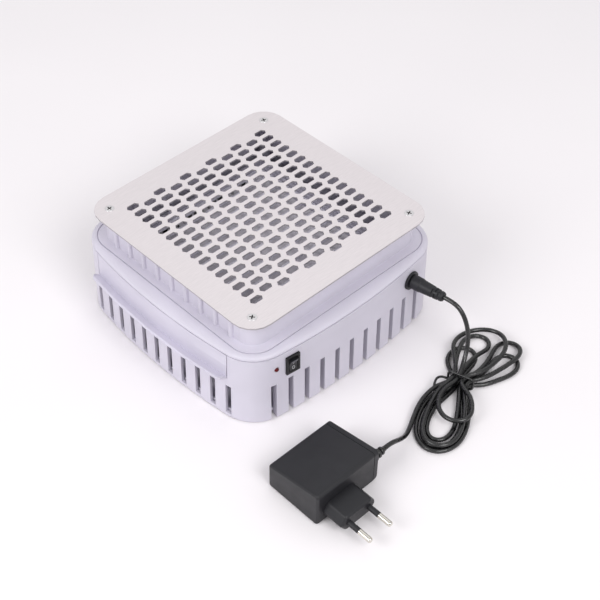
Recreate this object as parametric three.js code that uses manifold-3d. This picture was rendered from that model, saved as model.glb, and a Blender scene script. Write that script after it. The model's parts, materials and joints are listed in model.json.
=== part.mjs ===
// Desktop dust collector for nail work: a square suction box with a perforated top plate,
// a filter drawer in front, a centrifugal fan inside, and a plug-in power supply on a hanked cord.
// Millimetres, +Z up. The pieces are drawn about the axis of the fan; the group then shifts so
// that the origin is on the table under the middle of the housing and the drawer's lip.
// The drawer faces -Y; the switch, lamp and power jack are on the +X side.

import * as THREE from 'three';
import { mergeVertices } from 'three/addons/utils/BufferGeometryUtils.js';
import Module from 'manifold-3d';

const wasm = await Module();
wasm.setup();

// Clearances and facets
const seatGap = 0.3;
const overrun = 6;
const weld = 0.001;
const sideSteps = 4;
const cornerSteps = 5;
const arcSteps = 4;
const roundSteps = 20;
const motorSteps = 12;
const smallSteps = 12;
const screwSteps = 8;

// Housing outline, seen from above: bowed sides and round corners
const housingHalf = 95.8;
const housingBow = 9.4;
const housingCorner = 27;
const housingFlare = 1.2;
const housingWall = 2.4;
const wallFoot = 1.2;
const wallFootBevel = 0.5;
const partingZ = 58.6;

// Vents in the four walls
const ventCount = 11;
const frontVentMargin = 27.3;
const frontVentWidth = 4.6;
const frontVentLow = 3.5;
const sideVentMargin = 28.3;
const sideVentWidth = 4.1;
const sideVentShift = -3.4;
const ventTop = 33.2;
const ventCheekDepth = 5;

// Posts in the four corners and the long screws that hold the case together
const postRadius = 4.3;
const postWallGap = 3.4;
const gussetThick = 1.6;
const caseScrewRadius = 1.5;
const caseScrewHeadRadius = 3;
const caseScrewHeadHeight = 1.8;
const caseScrewGrip = 10;
const caseScrewCounterbore = 1.2;

// Top cover: a rounded band, a flat deck and a square riser
const bandOverhang = 0.4;
const bandEdge = 0.7;
const bandSteps = 3;
const deckInset = 9.4;
const deckCorner = 19.3;
const deckZ = 62.6;
const deckSeam = 0.35;
const riserInset = 7.4;
const riserCorner = 12;
const riserTop = 83.8;
const coverWall = 2.4;
const tongueDepth = 2.6;
const tongueThick = 1.6;
const riserRibCount = 9;
const riserRibMargin = 19.8;
const riserRibRadius = 2.2;
const riserRibSink = 0.1;
const riserRibTopMargin = 1.2;

// Perforated plate
const plateOverhang = 6.5;
const plateCorner = 16.8;
const plateThick = 1.2;
const slotWidth = 5.2;
const slotLength = 10;
const slotTip = 1.7;
const slotSideMargin = 22.5;
const slotEndMargin = 25.35;
const slotRows = 11;
const slotsInLongRow = 16;
const plateScrewInset = 12.5;
const plateScrewRadius = 1.5;
const plateScrewHeadRadius = 3.35;
const plateScrewLength = 9;
const plateBossRadius = 3.3;
const plateBossDepth = 14;

// Shelf between the drawer and the fan
const shelfTop = 37.2;
const shelfThick = 2.4;
const inletRadius = 40;
const inletRingThick = 2;
const inletRingDepth = 2.8;
const guideThick = 2;
const guideHeight = 18.5;

// Bottom cover and feet
const bottomZ = 3;
const bottomThick = 2.4;
const footRadius = 7;
const footRecess = 1;
const footInset = 37.8;

// Motor and fan
const motorRadius = 18.5;
const motorWall = 1.2;
const motorTop = 23.5;
const mountRadius = 26;
const mountThick = 2;
const bearingRadius = 4;
const bearingHeight = 2;
const bearingSeatWall = 1.2;
const statorThick = 3.2;
const statorMargin = 2.6;
const rotorRadius = 13;
const rotorMargin = 3.3;
const shaftRadius = 1.6;
const motorScrewCount = 3;
const motorScrewInset = 3.7;
const motorScrewRadius = 1.3;
const motorScrewHeadRadius = 2.6;
const motorScrewHeadHeight = 1.5;
const impellerInset = 32.8;
const impellerPlate = 1.5;
const impellerLift = 0.7;
const hubGap = 1.5;
const hubWall = 2;
const hubTop = 26;
const bladeCount = 9;
const bladeThick = 1.8;
const bladeStart = 25;
const bladeSteps = 4;
const bladeSweep = 0.95;
const bladeInletTop = 25.5;
const bladeClearance = 1;
const nutRadius = 4.6;
const nutHeight = 3;

// Drawer and filter
const drawerSideInset = 28.3;
const drawerSeam = 0.4;
const drawerRunningGap = 0.35;
const drawerPanelThick = 3;
const drawerWall = 2.2;
const drawerTrayTop = 54;
const drawerFloor = 2;
const drawerBackInset = 32.3;
const drawerFrontDepth = 9.8;
const trayOpeningsAcross = 4;
const trayOpeningsDeep = 3;
const trayBar = 4;
const trayRim = 7;
const lipReach = 4.8;
const lipLow = 39.3;
const lipTop = 42.2;
const lipRootReach = 2.6;
const lipRootZ = 43.3;
const lipEdgeRound = 0.7;
const lipEndRound = 5;
const lipEndProud = 1.2;
const filterPlay = 0.4;
const filterFrameWall = 2.5;
const filterFrameHeight = 12.6;
const filterLedge = 4;
const filterLedgeThick = 1;
const filterRibCount = 9;
const filterRibMargin = 10.7;
const filterRibWidth = 1.6;
const filterRibHeight = 1.3;
const filterRibDrop = 0.3;
const pleatCount = 24;
const pleatHeight = 8.3;
const mediaThick = 1;

// Switch on the +X wall
const switchInset = 39.4;
const switchZ = 46.2;
const switchWidth = 11;
const switchHeight = 15.5;
const switchFlange = 1.4;
const switchFlangeRound = 1;
const switchBodyWidth = 8.8;
const switchBodyHeight = 13.4;
const switchBodyDepth = 13;
const switchWall = 0.9;
const rockerDepth = 4;
const rockerRise = 2.2;
const rockerDip = 1;
const rockerFootShare = 0.55;
const rockerTilt = 10;
const rockerPivot = 0.2;

// Lamp and its board
const lampSpacing = 12.4;
const lampZ = 47.1;
const lampRadius = 1.5;
const lampLength = 7;
const lampProud = 1;
const lampFlangeRadius = 1.9;
const lampFlangeThick = 1;
const boardThick = 1.6;
const boardWidth = 9;
const boardHeight = 17;
const boardSlotWall = 1.6;
const boardSlotDepth = 2;
const boardSlotHeight = 9;

// Power jack on the +X wall
const jackInset = 38.9;
const jackZ = 46.2;
const jackFlangeRadius = 7;
const jackFlangeThick = 1.6;
const jackRadius = 5.4;
const jackDepth = 13;
const jackBoreRadius = 3.05;
const jackBoreDepth = 10.5;
const jackPinRadius = 1;
const jackNutRadius = 8;
const jackNutThick = 3;

// Leads inside the housing
const leadRadius = 0.9;
const leadStandoff = 4;
const leadSteps = 12;
const leadSides = 6;
const terminalRise = 3.4;

// Plug in the jack
const barrelRadius = 2.75;
const barrelBore = 1.35;
const barrelDepth = 8.5;
const barrelSeat = 4;
const gripRadius = 4.7;
const gripMidRadius = 4.25;
const gripNeckRadius = 3.5;
const gripEndRadius = 2.9;
const gripMid = 10;
const gripNeck = 20.5;
const gripLength = 28;

// Cord, hank and tie
const cordRadius = 1.4;
const cordSides = 8;
const cordStep = 6;
const hankX = 157.5;
const hankY = 42;
const hankTurn = 19;
const hankLoops = 5;
const hankSides = 6;
const hankStepsPerLoop = 24;
const hankReach = 57;
const hankWaist = 9.7;
const hankUpperSwell = 33;
const hankLowerSwell = 24;
const hankPitch = 3.5;
const hankSwellPitch = 5.5;
const hankLayerStep = 3.35;
const hankStartAngle = 45;
const hankEndAngle = 92;
const hankGapSamples = 5;
const hankClimbTurns = 0.5;
const hankTangentTurns = 0.005;
const tieThick = 1;
const tieWidth = 2.4;
const tieRound = 3;
const tieTailLength = 15;
const tieTailSteps = 5;

// Power supply
const adapterX = 129;
const adapterY = -112;
const adapterWidth = 44.5;
const adapterLength = 54.5;
const adapterLowHeight = 21;
const adapterHighHeight = 29;
const adapterRound = 2.6;
const adapterEdge = 1;
const adapterCap = 4;
const adapterCapSlope = 2.2;
const reliefX = 168.5;
const reliefZ = 18;
const reliefLength = 11;
const reliefRadius = 3.4;
const reliefEndRadius = 2.1;
const reliefRibs = 2;
const reliefRibDepth = 0.5;
const reliefRibShares = [0.55, 0.6, 0.95];
const plugBlockY = -92.3;
const plugBlockZ = 10.8;
const plugBlockHalfWidth = 15.5;
const plugBlockFlatHalf = 11;
const plugBlockHalfHeight = 6.6;
const plugBlockLength = 16.5;
const plugBlockEdge = 1;
const pinSpacing = 17.6;
const pinRadius = 2;
const pinCoreRadius = 1.4;
const pinLength = 19;
const sleeveLength = 9.5;
const sleeveWall = 0.35;
const pinTip = 1.2;

// Routes of the two free stretches of cord, chosen by hand from one fitting to the next
const upperCordRoute = [
  [125, 61.8, 44], [131, 63, 38], [136.4, 61.5, 29], [139.9, 58, 20], [141.9, 54, 13.2], [143.6, 49.8, 8.4],
];
const lowerCordRoute = [
  [160.6, -14.5, 2.4], [164.6, -23.5, 5.2], [167.6, -33.5, 12.2],
];

// Closed solids from three.js geometry, and the three ways to combine them

function asSolid(form) {
  if (!form.isBufferGeometry) return form;
  const bare = form.clone();
  bare.deleteAttribute('normal');
  bare.deleteAttribute('uv');
  const merged = mergeVertices(bare, weld);
  const corners = merged.index.array;
  const places = merged.attributes.position;
  const triangles = [];
  let volume = 0;
  for (let i = 0; i < corners.length; i += 3) {
    const [a, b, c] = [corners[i], corners[i + 1], corners[i + 2]];
    if (a === b || b === c || c === a) continue;
    const [p, q, r] = [a, b, c].map((corner) => new THREE.Vector3().fromBufferAttribute(places, corner));
    volume += p.dot(q.cross(r));
    triangles.push(a, b, c);
  }
  if (volume < 0) triangles.reverse();
  return new wasm.Manifold(new wasm.Mesh({
    numProp: 3,
    vertProperties: new Float32Array(places.array),
    triVerts: new Uint32Array(triangles),
  }));
}

function asGeometry(form) {
  const mesh = asSolid(form).getMesh();
  const geometry = new THREE.BufferGeometry();
  geometry.setAttribute('position', new THREE.BufferAttribute(new Float32Array(mesh.vertProperties), 3));
  geometry.setIndex(new THREE.BufferAttribute(new Uint32Array(mesh.triVerts), 1));
  geometry.computeVertexNormals();
  return geometry;
}

function cut(body, tools) {
  return tools.reduce((rest, tool) => rest.subtract(asSolid(tool)), asSolid(body));
}

function join(forms) {
  return forms.map(asSolid).reduce((sum, form) => sum.add(form));
}

function common(first, second) {
  return asSolid(first).intersect(asSolid(second));
}

// Shapes that the pieces are made from

const up = new THREE.Vector3(0, 0, 1);

function block(x0, x1, y0, y1, z0, z1) {
  const box = new THREE.BoxGeometry(x1 - x0, y1 - y0, z1 - z0);
  return box.translate((x0 + x1) / 2, (y0 + y1) / 2, (z0 + z1) / 2);
}

function rod(radius, z0, z1, steps = smallSteps) {
  const cylinder = new THREE.CylinderGeometry(radius, radius, z1 - z0, steps);
  return cylinder.rotateX(Math.PI / 2).translate(0, 0, (z0 + z1) / 2);
}

function screwHole(screwRadius, z0, z1) {
  return rod(screwRadius + seatGap, z0, z1, screwSteps);
}

function turned(profile, steps = roundSteps) {
  const points = profile.map(([radius, z]) => new THREE.Vector2(radius, z));
  return new THREE.LatheGeometry(points, steps).rotateX(Math.PI / 2);
}

function tubeRing(inner, outer, z0, z1, steps = roundSteps) {
  return turned([[inner, z0], [outer, z0], [outer, z1], [inner, z1], [inner, z0]], steps);
}

function hexNut(bore, radius, z0, z1) {
  return asGeometry(cut(rod(radius, z0, z1, 6), [rod(bore, z0 - overrun, z1 + overrun)]));
}

function prism(shape, z0, z1) {
  const options = { depth: z1 - z0, bevelEnabled: false, curveSegments: arcSteps };
  return new THREE.ExtrudeGeometry(shape, options).translate(0, 0, z0);
}

// A prism standing along +Y, from a shape drawn in X and Z
function prismAlongY(shape, y0, y1, edge = 0) {
  const options = {
    depth: y1 - y0 - 2 * edge,
    bevelEnabled: edge > 0,
    bevelThickness: edge,
    bevelSize: edge,
    bevelOffset: -edge,
    bevelSegments: 1,
    curveSegments: arcSteps,
  };
  return new THREE.ExtrudeGeometry(shape, options).rotateX(Math.PI / 2).translate(0, y1 - edge, 0);
}

// A prism standing along +X, from a shape drawn in Y and Z
function prismAlongX(shape, x0, x1, edge = 0) {
  return prismAlongY(shape, -x1, -x0, edge).rotateZ(Math.PI / 2);
}

function polygon(points) {
  return new THREE.Shape(points.map(([x, y]) => new THREE.Vector2(x, y)));
}

function roundedShape(x0, x1, y0, y1, round) {
  const shape = new THREE.Shape();
  shape.absarc(x1 - round, y0 + round, round, -Math.PI / 2, 0);
  shape.absarc(x1 - round, y1 - round, round, 0, Math.PI / 2);
  shape.absarc(x0 + round, y1 - round, round, Math.PI / 2, Math.PI);
  shape.absarc(x0 + round, y0 + round, round, Math.PI, 1.5 * Math.PI);
  shape.closePath();
  return shape;
}

// Plans of the housing: the corner arcs keep their centres when a plan is inset
function bowedPlan(half, bow, corner) {
  const sideRadius = (half ** 2 + bow ** 2) / (2 * bow);
  const back = sideRadius - half;
  const reach = sideRadius - corner;
  const centre = (Math.sqrt(2 * reach ** 2 - back ** 2) - back) / 2;
  return { sideRadius, back, centre, corner, swing: Math.atan2(centre, centre + back) };
}

function straightPlan(half, corner) {
  return { half, centre: half - corner, corner, swing: 0 };
}

function sidePoint(plan, inset, share) {
  if (plan.swing === 0) return [plan.half - inset, plan.centre * share];
  const angle = plan.swing * share;
  const radius = plan.sideRadius - inset;
  return [radius * Math.cos(angle) - plan.back, radius * Math.sin(angle)];
}

function ring(plan, inset, z) {
  const quarter = [];
  for (let i = 0; i <= sideSteps; i += 1) {
    quarter.push(sidePoint(plan, inset, 2 * i / sideSteps - 1));
  }
  for (let i = 1; i < cornerSteps; i += 1) {
    const angle = plan.swing + (Math.PI / 2 - 2 * plan.swing) * i / cornerSteps;
    const radius = plan.corner - inset;
    quarter.push([plan.centre + radius * Math.cos(angle), plan.centre + radius * Math.sin(angle)]);
  }
  const around = [];
  for (let side = 0; side < 4; side += 1) {
    for (const [x, y] of quarter) {
      around.push(new THREE.Vector3(x, y, z).applyAxisAngle(up, side * Math.PI / 2));
    }
  }
  return around;
}

// A solid through rings that have the same number of points, with flat ends
function loft(rings) {
  const count = rings[0].length;
  const places = rings.flat();
  const triangles = [];
  for (let level = 0; level + 1 < rings.length; level += 1) {
    for (let i = 0; i < count; i += 1) {
      const next = (i + 1) % count;
      const [a, b] = [level * count + i, level * count + next];
      triangles.push(a, b, b + count, a, b + count, a + count);
    }
  }
  const ends = [rings[0], rings[rings.length - 1]];
  ends.forEach((end, which) => {
    const middle = end.reduce((sum, point) => sum.add(point), new THREE.Vector3()).divideScalar(count);
    const hub = places.push(middle) - 1;
    const first = which * (rings.length - 1) * count;
    for (let i = 0; i < count; i += 1) {
      const [a, b] = [first + i, first + (i + 1) % count];
      triangles.push(...(which === 0 ? [hub, b, a] : [hub, a, b]));
    }
  });
  const geometry = new THREE.BufferGeometry().setFromPoints(places);
  geometry.setIndex(triangles);
  return geometry;
}

// The same form at each corner of a square
function atCorners(form, spot) {
  return [[1, 1], [-1, 1], [-1, -1], [1, -1]].map(([x, y]) => form.clone().translate(x * spot, y * spot, 0));
}

function evenSpots(count, pitch, shift = 0) {
  return Array.from({ length: count }, (_, i) => (i - (count - 1) / 2) * pitch + shift);
}

// As many even spots, from one reach to the other
function spotsWithin(reach, count) {
  return evenSpots(count, 2 * reach / (count - 1));
}

// Derived places, heights and plans

const deckHalf = housingHalf - deckInset;
const riserHalf = deckHalf - riserInset;
const plateHalf = riserHalf + plateOverhang;
const plateScrewSpot = plateHalf - plateScrewInset;
const footSpot = housingHalf - footInset;
const impellerRadius = housingHalf - impellerInset;
const drawerHalfWidth = housingHalf - drawerSideInset;
const drawerBack = housingHalf - drawerBackInset;
const trayFront = drawerFrontDepth - housingHalf;
const switchY = switchInset - housingHalf;
const lampY = switchY - lampSpacing;
const jackY = housingHalf - jackInset;

const housingPlan = bowedPlan(housingHalf, housingBow, housingCorner);
const deckPlan = straightPlan(deckHalf, deckCorner);
const riserPlan = straightPlan(riserHalf, riserCorner);
const platePlan = straightPlan(plateHalf, plateCorner);

const coverFoot = partingZ + seatGap;
const shelfFoot = shelfTop - shelfThick;
const postTop = shelfFoot - seatGap;
const bottomTop = bottomZ + bottomThick;
const mountFoot = bottomTop + seatGap;
const mountTop = mountFoot + mountThick;
const plateFoot = riserTop + seatGap;
const plateTop = plateFoot + plateThick;
const postReach = (housingCorner - housingWall - postWallGap - postRadius) * Math.SQRT1_2;
const postSpot = housingPlan.centre + postReach;
const drawerFoot = shelfTop + drawerRunningGap;
const drawerTop = partingZ - seatGap;
const guideInner = drawerHalfWidth - drawerSeam;
const traySide = drawerHalfWidth - 2 * seatGap - drawerSeam;

function flareAt(z) {
  return housingFlare * (partingZ - z) / (partingZ - wallFoot);
}

// A place on the outside of the +X wall: local X points out, local Z up
function wallFrame(y, z) {
  const radius = housingPlan.sideRadius + flareAt(z);
  const angle = Math.asin(y / radius);
  const slope = Math.atan(housingFlare / (partingZ - wallFoot));
  const place = new THREE.Vector3(radius * Math.cos(angle) - housingPlan.back, y, z);
  const lean = new THREE.Matrix4().makeRotationY(-slope);
  return new THREE.Matrix4().makeRotationZ(angle).multiply(lean).setPosition(place);
}

const switchFrame = wallFrame(switchY, switchZ);
const lampFrame = wallFrame(lampY, lampZ);
const jackFrame = wallFrame(jackY, jackZ);

function mountedOn(frame, form) {
  return form.applyMatrix4(frame);
}

// Turns a form that stands along +Z so that it lies along local X
function outward(form) {
  return form.rotateY(Math.PI / 2);
}

// Housing

function housingBlank(inset, z0, z1) {
  return loft([ring(housingPlan, inset - flareAt(z0), z0), ring(housingPlan, inset - flareAt(z1), z1)]);
}

function sideHalves(z0, z1) {
  const far = housingHalf + housingFlare + overrun;
  const near = postSpot + postRadius;
  const reach = housingPlan.centre + housingCorner / 2;
  return [block(near, far, -reach, reach, z0, z1), block(-far, -near, -reach, reach, z0, z1)];
}

function ventTools() {
  const far = housingHalf + housingFlare + overrun;
  const near = postSpot + postRadius;
  const tools = [];
  for (const x of spotsWithin(housingHalf - frontVentMargin, ventCount)) {
    const [x0, x1] = [x - frontVentWidth / 2, x + frontVentWidth / 2];
    tools.push(block(x0, x1, -far, -near, frontVentLow, ventTop));
    tools.push(block(x0, x1, near, far, frontVentLow, ventTop));
  }
  for (const middle of spotsWithin(housingHalf - sideVentMargin, ventCount)) {
    const y = middle + sideVentShift;
    const [y0, y1] = [y - sideVentWidth / 2, y + sideVentWidth / 2];
    tools.push(block(near, far, y0, y1, wallFoot - overrun, ventTop));
    tools.push(block(-far, -near, y0, y1, wallFoot - overrun, ventTop));
  }
  return tools;
}

function baseHousing() {
  const outer = loft([
    ring(housingPlan, wallFootBevel - housingFlare, wallFoot),
    ring(housingPlan, -flareAt(wallFoot + wallFootBevel), wallFoot + wallFootBevel),
    ring(housingPlan, 0, partingZ),
  ]);
  const inner = housingBlank(housingWall, wallFoot - overrun, partingZ + overrun);
  const cheekInner = housingBlank(ventCheekDepth, wallFoot - overrun, postTop + overrun);
  const cheeks = sideHalves(wallFoot - overrun, postTop)
    .map((half) => cut(common(outer, half), [cheekInner]));
  const shell = join([cut(outer, [inner]), ...cheeks]);
  const postSpan = [bottomTop + seatGap, postTop];
  const posts = atCorners(rod(postRadius, ...postSpan), postSpot);
  const gussetLength = postWallGap + postRadius + housingWall / 2;
  const gussets = evenSpots(4, Math.PI / 2).map((angle) => {
    const near = postSpot * Math.SQRT2;
    const rib = block(near, near + gussetLength, -gussetThick / 2, gussetThick / 2, ...postSpan);
    return rib.rotateZ(angle);
  });
  const bores = atCorners(screwHole(caseScrewRadius, bottomTop - overrun, postTop + overrun), postSpot);
  const far = housingHalf + housingFlare + overrun;
  const doorHalf = drawerHalfWidth + drawerSeam;
  const doorway = block(-doorHalf, doorHalf, -far, -postSpot, shelfTop, partingZ + overrun);
  return cut(join([shell, ...posts, ...gussets]), [
    ...bores,
    ...ventTools(),
    doorway,
    mountedOn(switchFrame, block(
      -overrun, overrun,
      -switchBodyWidth / 2 - seatGap, switchBodyWidth / 2 + seatGap,
      -switchBodyHeight / 2 - seatGap, switchBodyHeight / 2 + seatGap,
    )),
    mountedOn(lampFrame, outward(rod(lampRadius + seatGap, -overrun, overrun))),
    mountedOn(jackFrame, outward(rod(jackRadius + seatGap, -overrun, overrun))),
    mountedOn(jackFrame, outward(rod(jackNutRadius + seatGap, -housingWall - overrun, -housingWall))),
  ]);
}

function bottomCover() {
  const plan = housingBlank(housingWall + seatGap, bottomZ, bottomTop);
  const cheekInner = housingBlank(ventCheekDepth + seatGap, bottomZ - overrun, bottomTop + overrun);
  const sides = sideHalves(bottomZ - overrun, bottomTop + overrun).map((half) => cut(half, [cheekInner]));
  const counterbore = screwHole(caseScrewHeadRadius, bottomZ - overrun, bottomZ + caseScrewCounterbore);
  const caseHole = screwHole(caseScrewRadius, bottomZ - overrun, bottomTop + overrun);
  const footSeat = rod(footRadius + seatGap, bottomZ - overrun, bottomZ + footRecess);
  const motorHole = screwHole(motorScrewRadius, bottomZ - overrun, bottomTop + overrun);
  return cut(plan, [
    ...sides,
    ...atCorners(counterbore, postSpot),
    ...atCorners(caseHole, postSpot),
    ...atCorners(footSeat, footSpot),
    ...aroundMotor(motorHole),
  ]);
}

function foot() {
  const top = bottomZ + footRecess - seatGap;
  const bevel = footRecess;
  const profile = [[0, 0], [footRadius - bevel, 0], [footRadius, bevel], [footRadius, top], [0, top]];
  return turned(profile, smallSteps);
}

// Top cover

function coverBand() {
  const rings = [ring(housingPlan, -bandOverhang, coverFoot)];
  const [bandLow, bandHigh] = [coverFoot + bandEdge, deckZ - deckSeam];
  const from = ring(housingPlan, -bandOverhang, bandLow);
  const to = ring(deckPlan, 0, bandHigh);
  for (let i = 0; i <= bandSteps; i += 1) {
    const angle = Math.PI / 2 * i / bandSteps;
    const inward = 1 - Math.cos(angle);
    const height = bandLow + (bandHigh - bandLow) * Math.sin(angle);
    rings.push(from.map((point, k) => point.clone().lerp(to[k], inward).setZ(height)));
  }
  rings.push(ring(deckPlan, deckSeam, bandHigh), ring(deckPlan, deckSeam, deckZ));
  return loft(rings);
}

function topCover() {
  const ceiling = deckZ - coverWall;
  const hollow = loft([
    ring(housingPlan, coverWall, coverFoot - overrun),
    ring(housingPlan, coverWall, coverFoot + bandEdge),
    ring(deckPlan, coverWall, ceiling),
  ]);
  const riser = loft([ring(riserPlan, 0, deckZ - coverWall / 2), ring(riserPlan, 0, riserTop)]);
  const throat = loft([
    ring(riserPlan, coverWall, coverFoot - overrun),
    ring(riserPlan, coverWall, riserTop + overrun),
  ]);
  const tongueTop = coverFoot + coverWall / 2;
  const tongueOuter = housingWall + seatGap;
  const tongue = cut(housingBlank(tongueOuter, partingZ - tongueDepth, tongueTop), [
    housingBlank(tongueOuter + tongueThick, partingZ - tongueDepth - overrun, tongueTop + overrun),
    block(
      -postSpot, postSpot, -housingHalf, -postSpot,
      partingZ - tongueDepth - overrun, tongueTop + overrun,
    ),
  ]);
  const ribs = spotsWithin(riserHalf - riserRibMargin, riserRibCount).map((x) => rod(
    riserRibRadius, deckZ - coverWall / 2, riserTop - riserRibTopMargin, screwSteps,
  ).translate(x, riserRibSink - riserHalf, 0));
  const shell = cut(join([coverBand(), riser, ...ribs]), [hollow, throat]);
  const bossFoot = riserTop - plateBossDepth;
  const bosses = atCorners(rod(plateBossRadius, bossFoot, riserTop), plateScrewSpot);
  const posts = atCorners(rod(postRadius, shelfTop + seatGap, ceiling + coverWall / 2), postSpot);
  const bossBore = screwHole(plateScrewRadius, plateFoot - plateScrewLength - seatGap, riserTop + overrun);
  const postBore = screwHole(caseScrewRadius, shelfTop - overrun, shelfTop + seatGap + caseScrewGrip);
  return cut(join([shell, tongue, ...bosses, ...posts]), [
    ...atCorners(bossBore, plateScrewSpot),
    ...atCorners(postBore, postSpot),
  ]);
}

// Perforated plate: rows of long six-sided slots, each row shifted by half a pitch

function slotPath(x, y) {
  const [w, l, shoulder] = [slotWidth / 2, slotLength / 2, slotLength / 2 - slotTip];
  const corners = [[w, -shoulder], [w, shoulder], [0, l], [-w, shoulder], [-w, -shoulder], [0, -l]];
  return new THREE.Path(corners.map(([dx, dy]) => new THREE.Vector2(x + dx, y + dy)));
}

function grillePlate() {
  const shape = new THREE.Shape(ring(platePlan, 0, 0).map((point) => new THREE.Vector2(point.x, point.y)));
  const reach = plateHalf - slotSideMargin;
  const pitch = 2 * reach / (slotsInLongRow - 1);
  spotsWithin(plateHalf - slotEndMargin, slotRows).forEach((y, row) => {
    const short = row % 2;
    const spots = spotsWithin(reach - short * pitch / 2, slotsInLongRow - short);
    for (const x of spots) shape.holes.push(slotPath(x, y));
  });
  const sink = turned([
    [0, plateFoot - overrun],
    [plateScrewRadius + seatGap, plateFoot - overrun],
    [plateScrewRadius + seatGap, plateFoot],
    [plateScrewHeadRadius + seatGap, plateTop],
    [plateScrewHeadRadius + seatGap, plateTop + overrun],
    [0, plateTop + overrun],
  ], screwSteps);
  return cut(prism(shape, plateFoot, plateTop), atCorners(sink, plateScrewSpot));
}

function plateScrew() {
  return turned([
    [0, plateFoot - plateScrewLength],
    [plateScrewRadius, plateFoot - plateScrewLength],
    [plateScrewRadius, plateFoot],
    [plateScrewHeadRadius, plateTop],
    [0, plateTop],
  ], screwSteps);
}

function caseScrew() {
  const seat = bottomZ + caseScrewCounterbore - seatGap;
  return turned([
    [0, seat - caseScrewHeadHeight],
    [caseScrewHeadRadius, seat - caseScrewHeadHeight],
    [caseScrewHeadRadius, seat],
    [caseScrewRadius, seat],
    [caseScrewRadius, shelfTop + caseScrewGrip],
    [0, shelfTop + caseScrewGrip],
  ], screwSteps);
}

// Shelf with the fan's inlet, the drawer's guides and the lamp board's slots

const lampBack = new THREE.Vector3(lampProud - lampLength - seatGap, 0, 0).applyMatrix4(lampFrame);
const boardX0 = lampBack.x - boardThick;
const boardY = lampBack.y;
const leadHoleX = postSpot;
const leadHoleY = switchY + switchWidth + leadStandoff;

function boardSlots() {
  return [-1, 1].map((side) => {
    const edge = boardY + side * boardWidth / 2;
    const inner = edge - side * boardSlotDepth;
    const span = [inner, edge + side * (seatGap + boardSlotWall)].sort((a, b) => a - b);
    const gap = [inner - side * overrun, edge + side * seatGap].sort((a, b) => a - b);
    const [x0, x1] = [boardX0 - seatGap, boardX0 + boardThick + seatGap];
    const post = block(
      x0 - boardSlotWall, x1 + boardSlotWall, ...span, shelfTop - shelfThick / 2, shelfTop + boardSlotHeight,
    );
    return cut(post, [block(x0, x1, ...gap, shelfTop, shelfTop + boardSlotHeight + overrun)]);
  });
}

function fanShelf() {
  const plan = housingBlank(housingWall + seatGap, shelfFoot, shelfTop);
  const [inner, outer] = [guideInner, guideInner + guideThick];
  const stop = drawerBack + seatGap;
  const guideFront = trayFront + seatGap;
  const guideSpan = [shelfTop - shelfThick / 2, shelfTop + guideHeight];
  const inletRing = tubeRing(inletRadius, inletRadius + inletRingThick, shelfFoot - inletRingDepth, shelfTop);
  const bores = atCorners(screwHole(caseScrewRadius, shelfFoot - overrun, shelfTop + overrun), postSpot);
  const leadHole = rod(leadRadius + seatGap * 2, shelfFoot - overrun, shelfTop + overrun);
  const ringMiddle = inletRadius + inletRingThick / 2;
  const plate = cut(plan, [rod(ringMiddle, shelfFoot - overrun, shelfTop + overrun, roundSteps)]);
  return cut(join([
    plate,
    inletRing,
    block(inner, outer, guideFront, stop + guideThick, ...guideSpan),
    block(-outer, -inner, guideFront, stop + guideThick, ...guideSpan),
    block(-outer, outer, stop, stop + guideThick, ...guideSpan),
    ...boardSlots(),
  ]), [...bores, leadHole.translate(leadHoleX, leadHoleY, 0)]);
}

// Motor and fan

function aroundMotor(form) {
  return evenSpots(motorScrewCount, 2 * Math.PI / motorScrewCount).map((angle) => (
    form.clone().translate(mountRadius - motorScrewInset, 0, 0).rotateZ(angle)
  ));
}

const boreRadius = shaftRadius + seatGap;
const seatRadius = bearingRadius + seatGap;
const lowerBearingFoot = mountTop + seatGap;
const upperBearingFoot = motorTop - motorWall - seatGap - bearingHeight;
const caseFoot = mountTop + seatGap;
const screwTip = mountTop - mountThick / 4;

function motorMount() {
  const seatTop = lowerBearingFoot + bearingHeight;
  const body = turned([
    [0, mountFoot],
    [mountRadius, mountFoot],
    [mountRadius, mountTop],
    [seatRadius + bearingSeatWall, mountTop],
    [seatRadius + bearingSeatWall, seatTop],
    [seatRadius, seatTop],
    [seatRadius, mountTop],
    [0, mountTop],
  ], motorSteps);
  return cut(body, aroundMotor(screwHole(motorScrewRadius, mountFoot - overrun, screwTip + seatGap)));
}

function motorCase() {
  const [under, seatFoot] = [motorTop - motorWall, upperBearingFoot - seatGap];
  return turned([
    [motorRadius - motorWall, caseFoot],
    [motorRadius, caseFoot],
    [motorRadius, motorTop],
    [boreRadius, motorTop],
    [boreRadius, under],
    [seatRadius, under],
    [seatRadius, seatFoot],
    [seatRadius + bearingSeatWall, seatFoot],
    [seatRadius + bearingSeatWall, under],
    [motorRadius - motorWall, under],
    [motorRadius - motorWall, caseFoot],
  ], motorSteps);
}

function motorStator() {
  const outer = motorRadius - motorWall - seatGap;
  const [foot, top] = [caseFoot + statorMargin, motorTop - motorWall - statorMargin];
  return tubeRing(outer - statorThick, outer, foot, top, motorSteps);
}

function bearing(foot) {
  return tubeRing(boreRadius, bearingRadius, foot, foot + bearingHeight, smallSteps);
}

function motorScrew() {
  const seat = bottomZ - seatGap;
  return turned([
    [0, seat - motorScrewHeadHeight],
    [motorScrewHeadRadius, seat - motorScrewHeadHeight],
    [motorScrewHeadRadius, seat],
    [motorScrewRadius, seat],
    [motorScrewRadius, screwTip],
    [0, screwTip],
  ], screwSteps);
}

function rotor() {
  const foot = caseFoot + rotorMargin;
  const top = motorTop - motorWall - rotorMargin - bearingSeatWall;
  return tubeRing(boreRadius, rotorRadius, foot, top, motorSteps);
}

function shaft() {
  return rod(shaftRadius, lowerBearingFoot, hubTop + seatGap + nutHeight);
}

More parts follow.
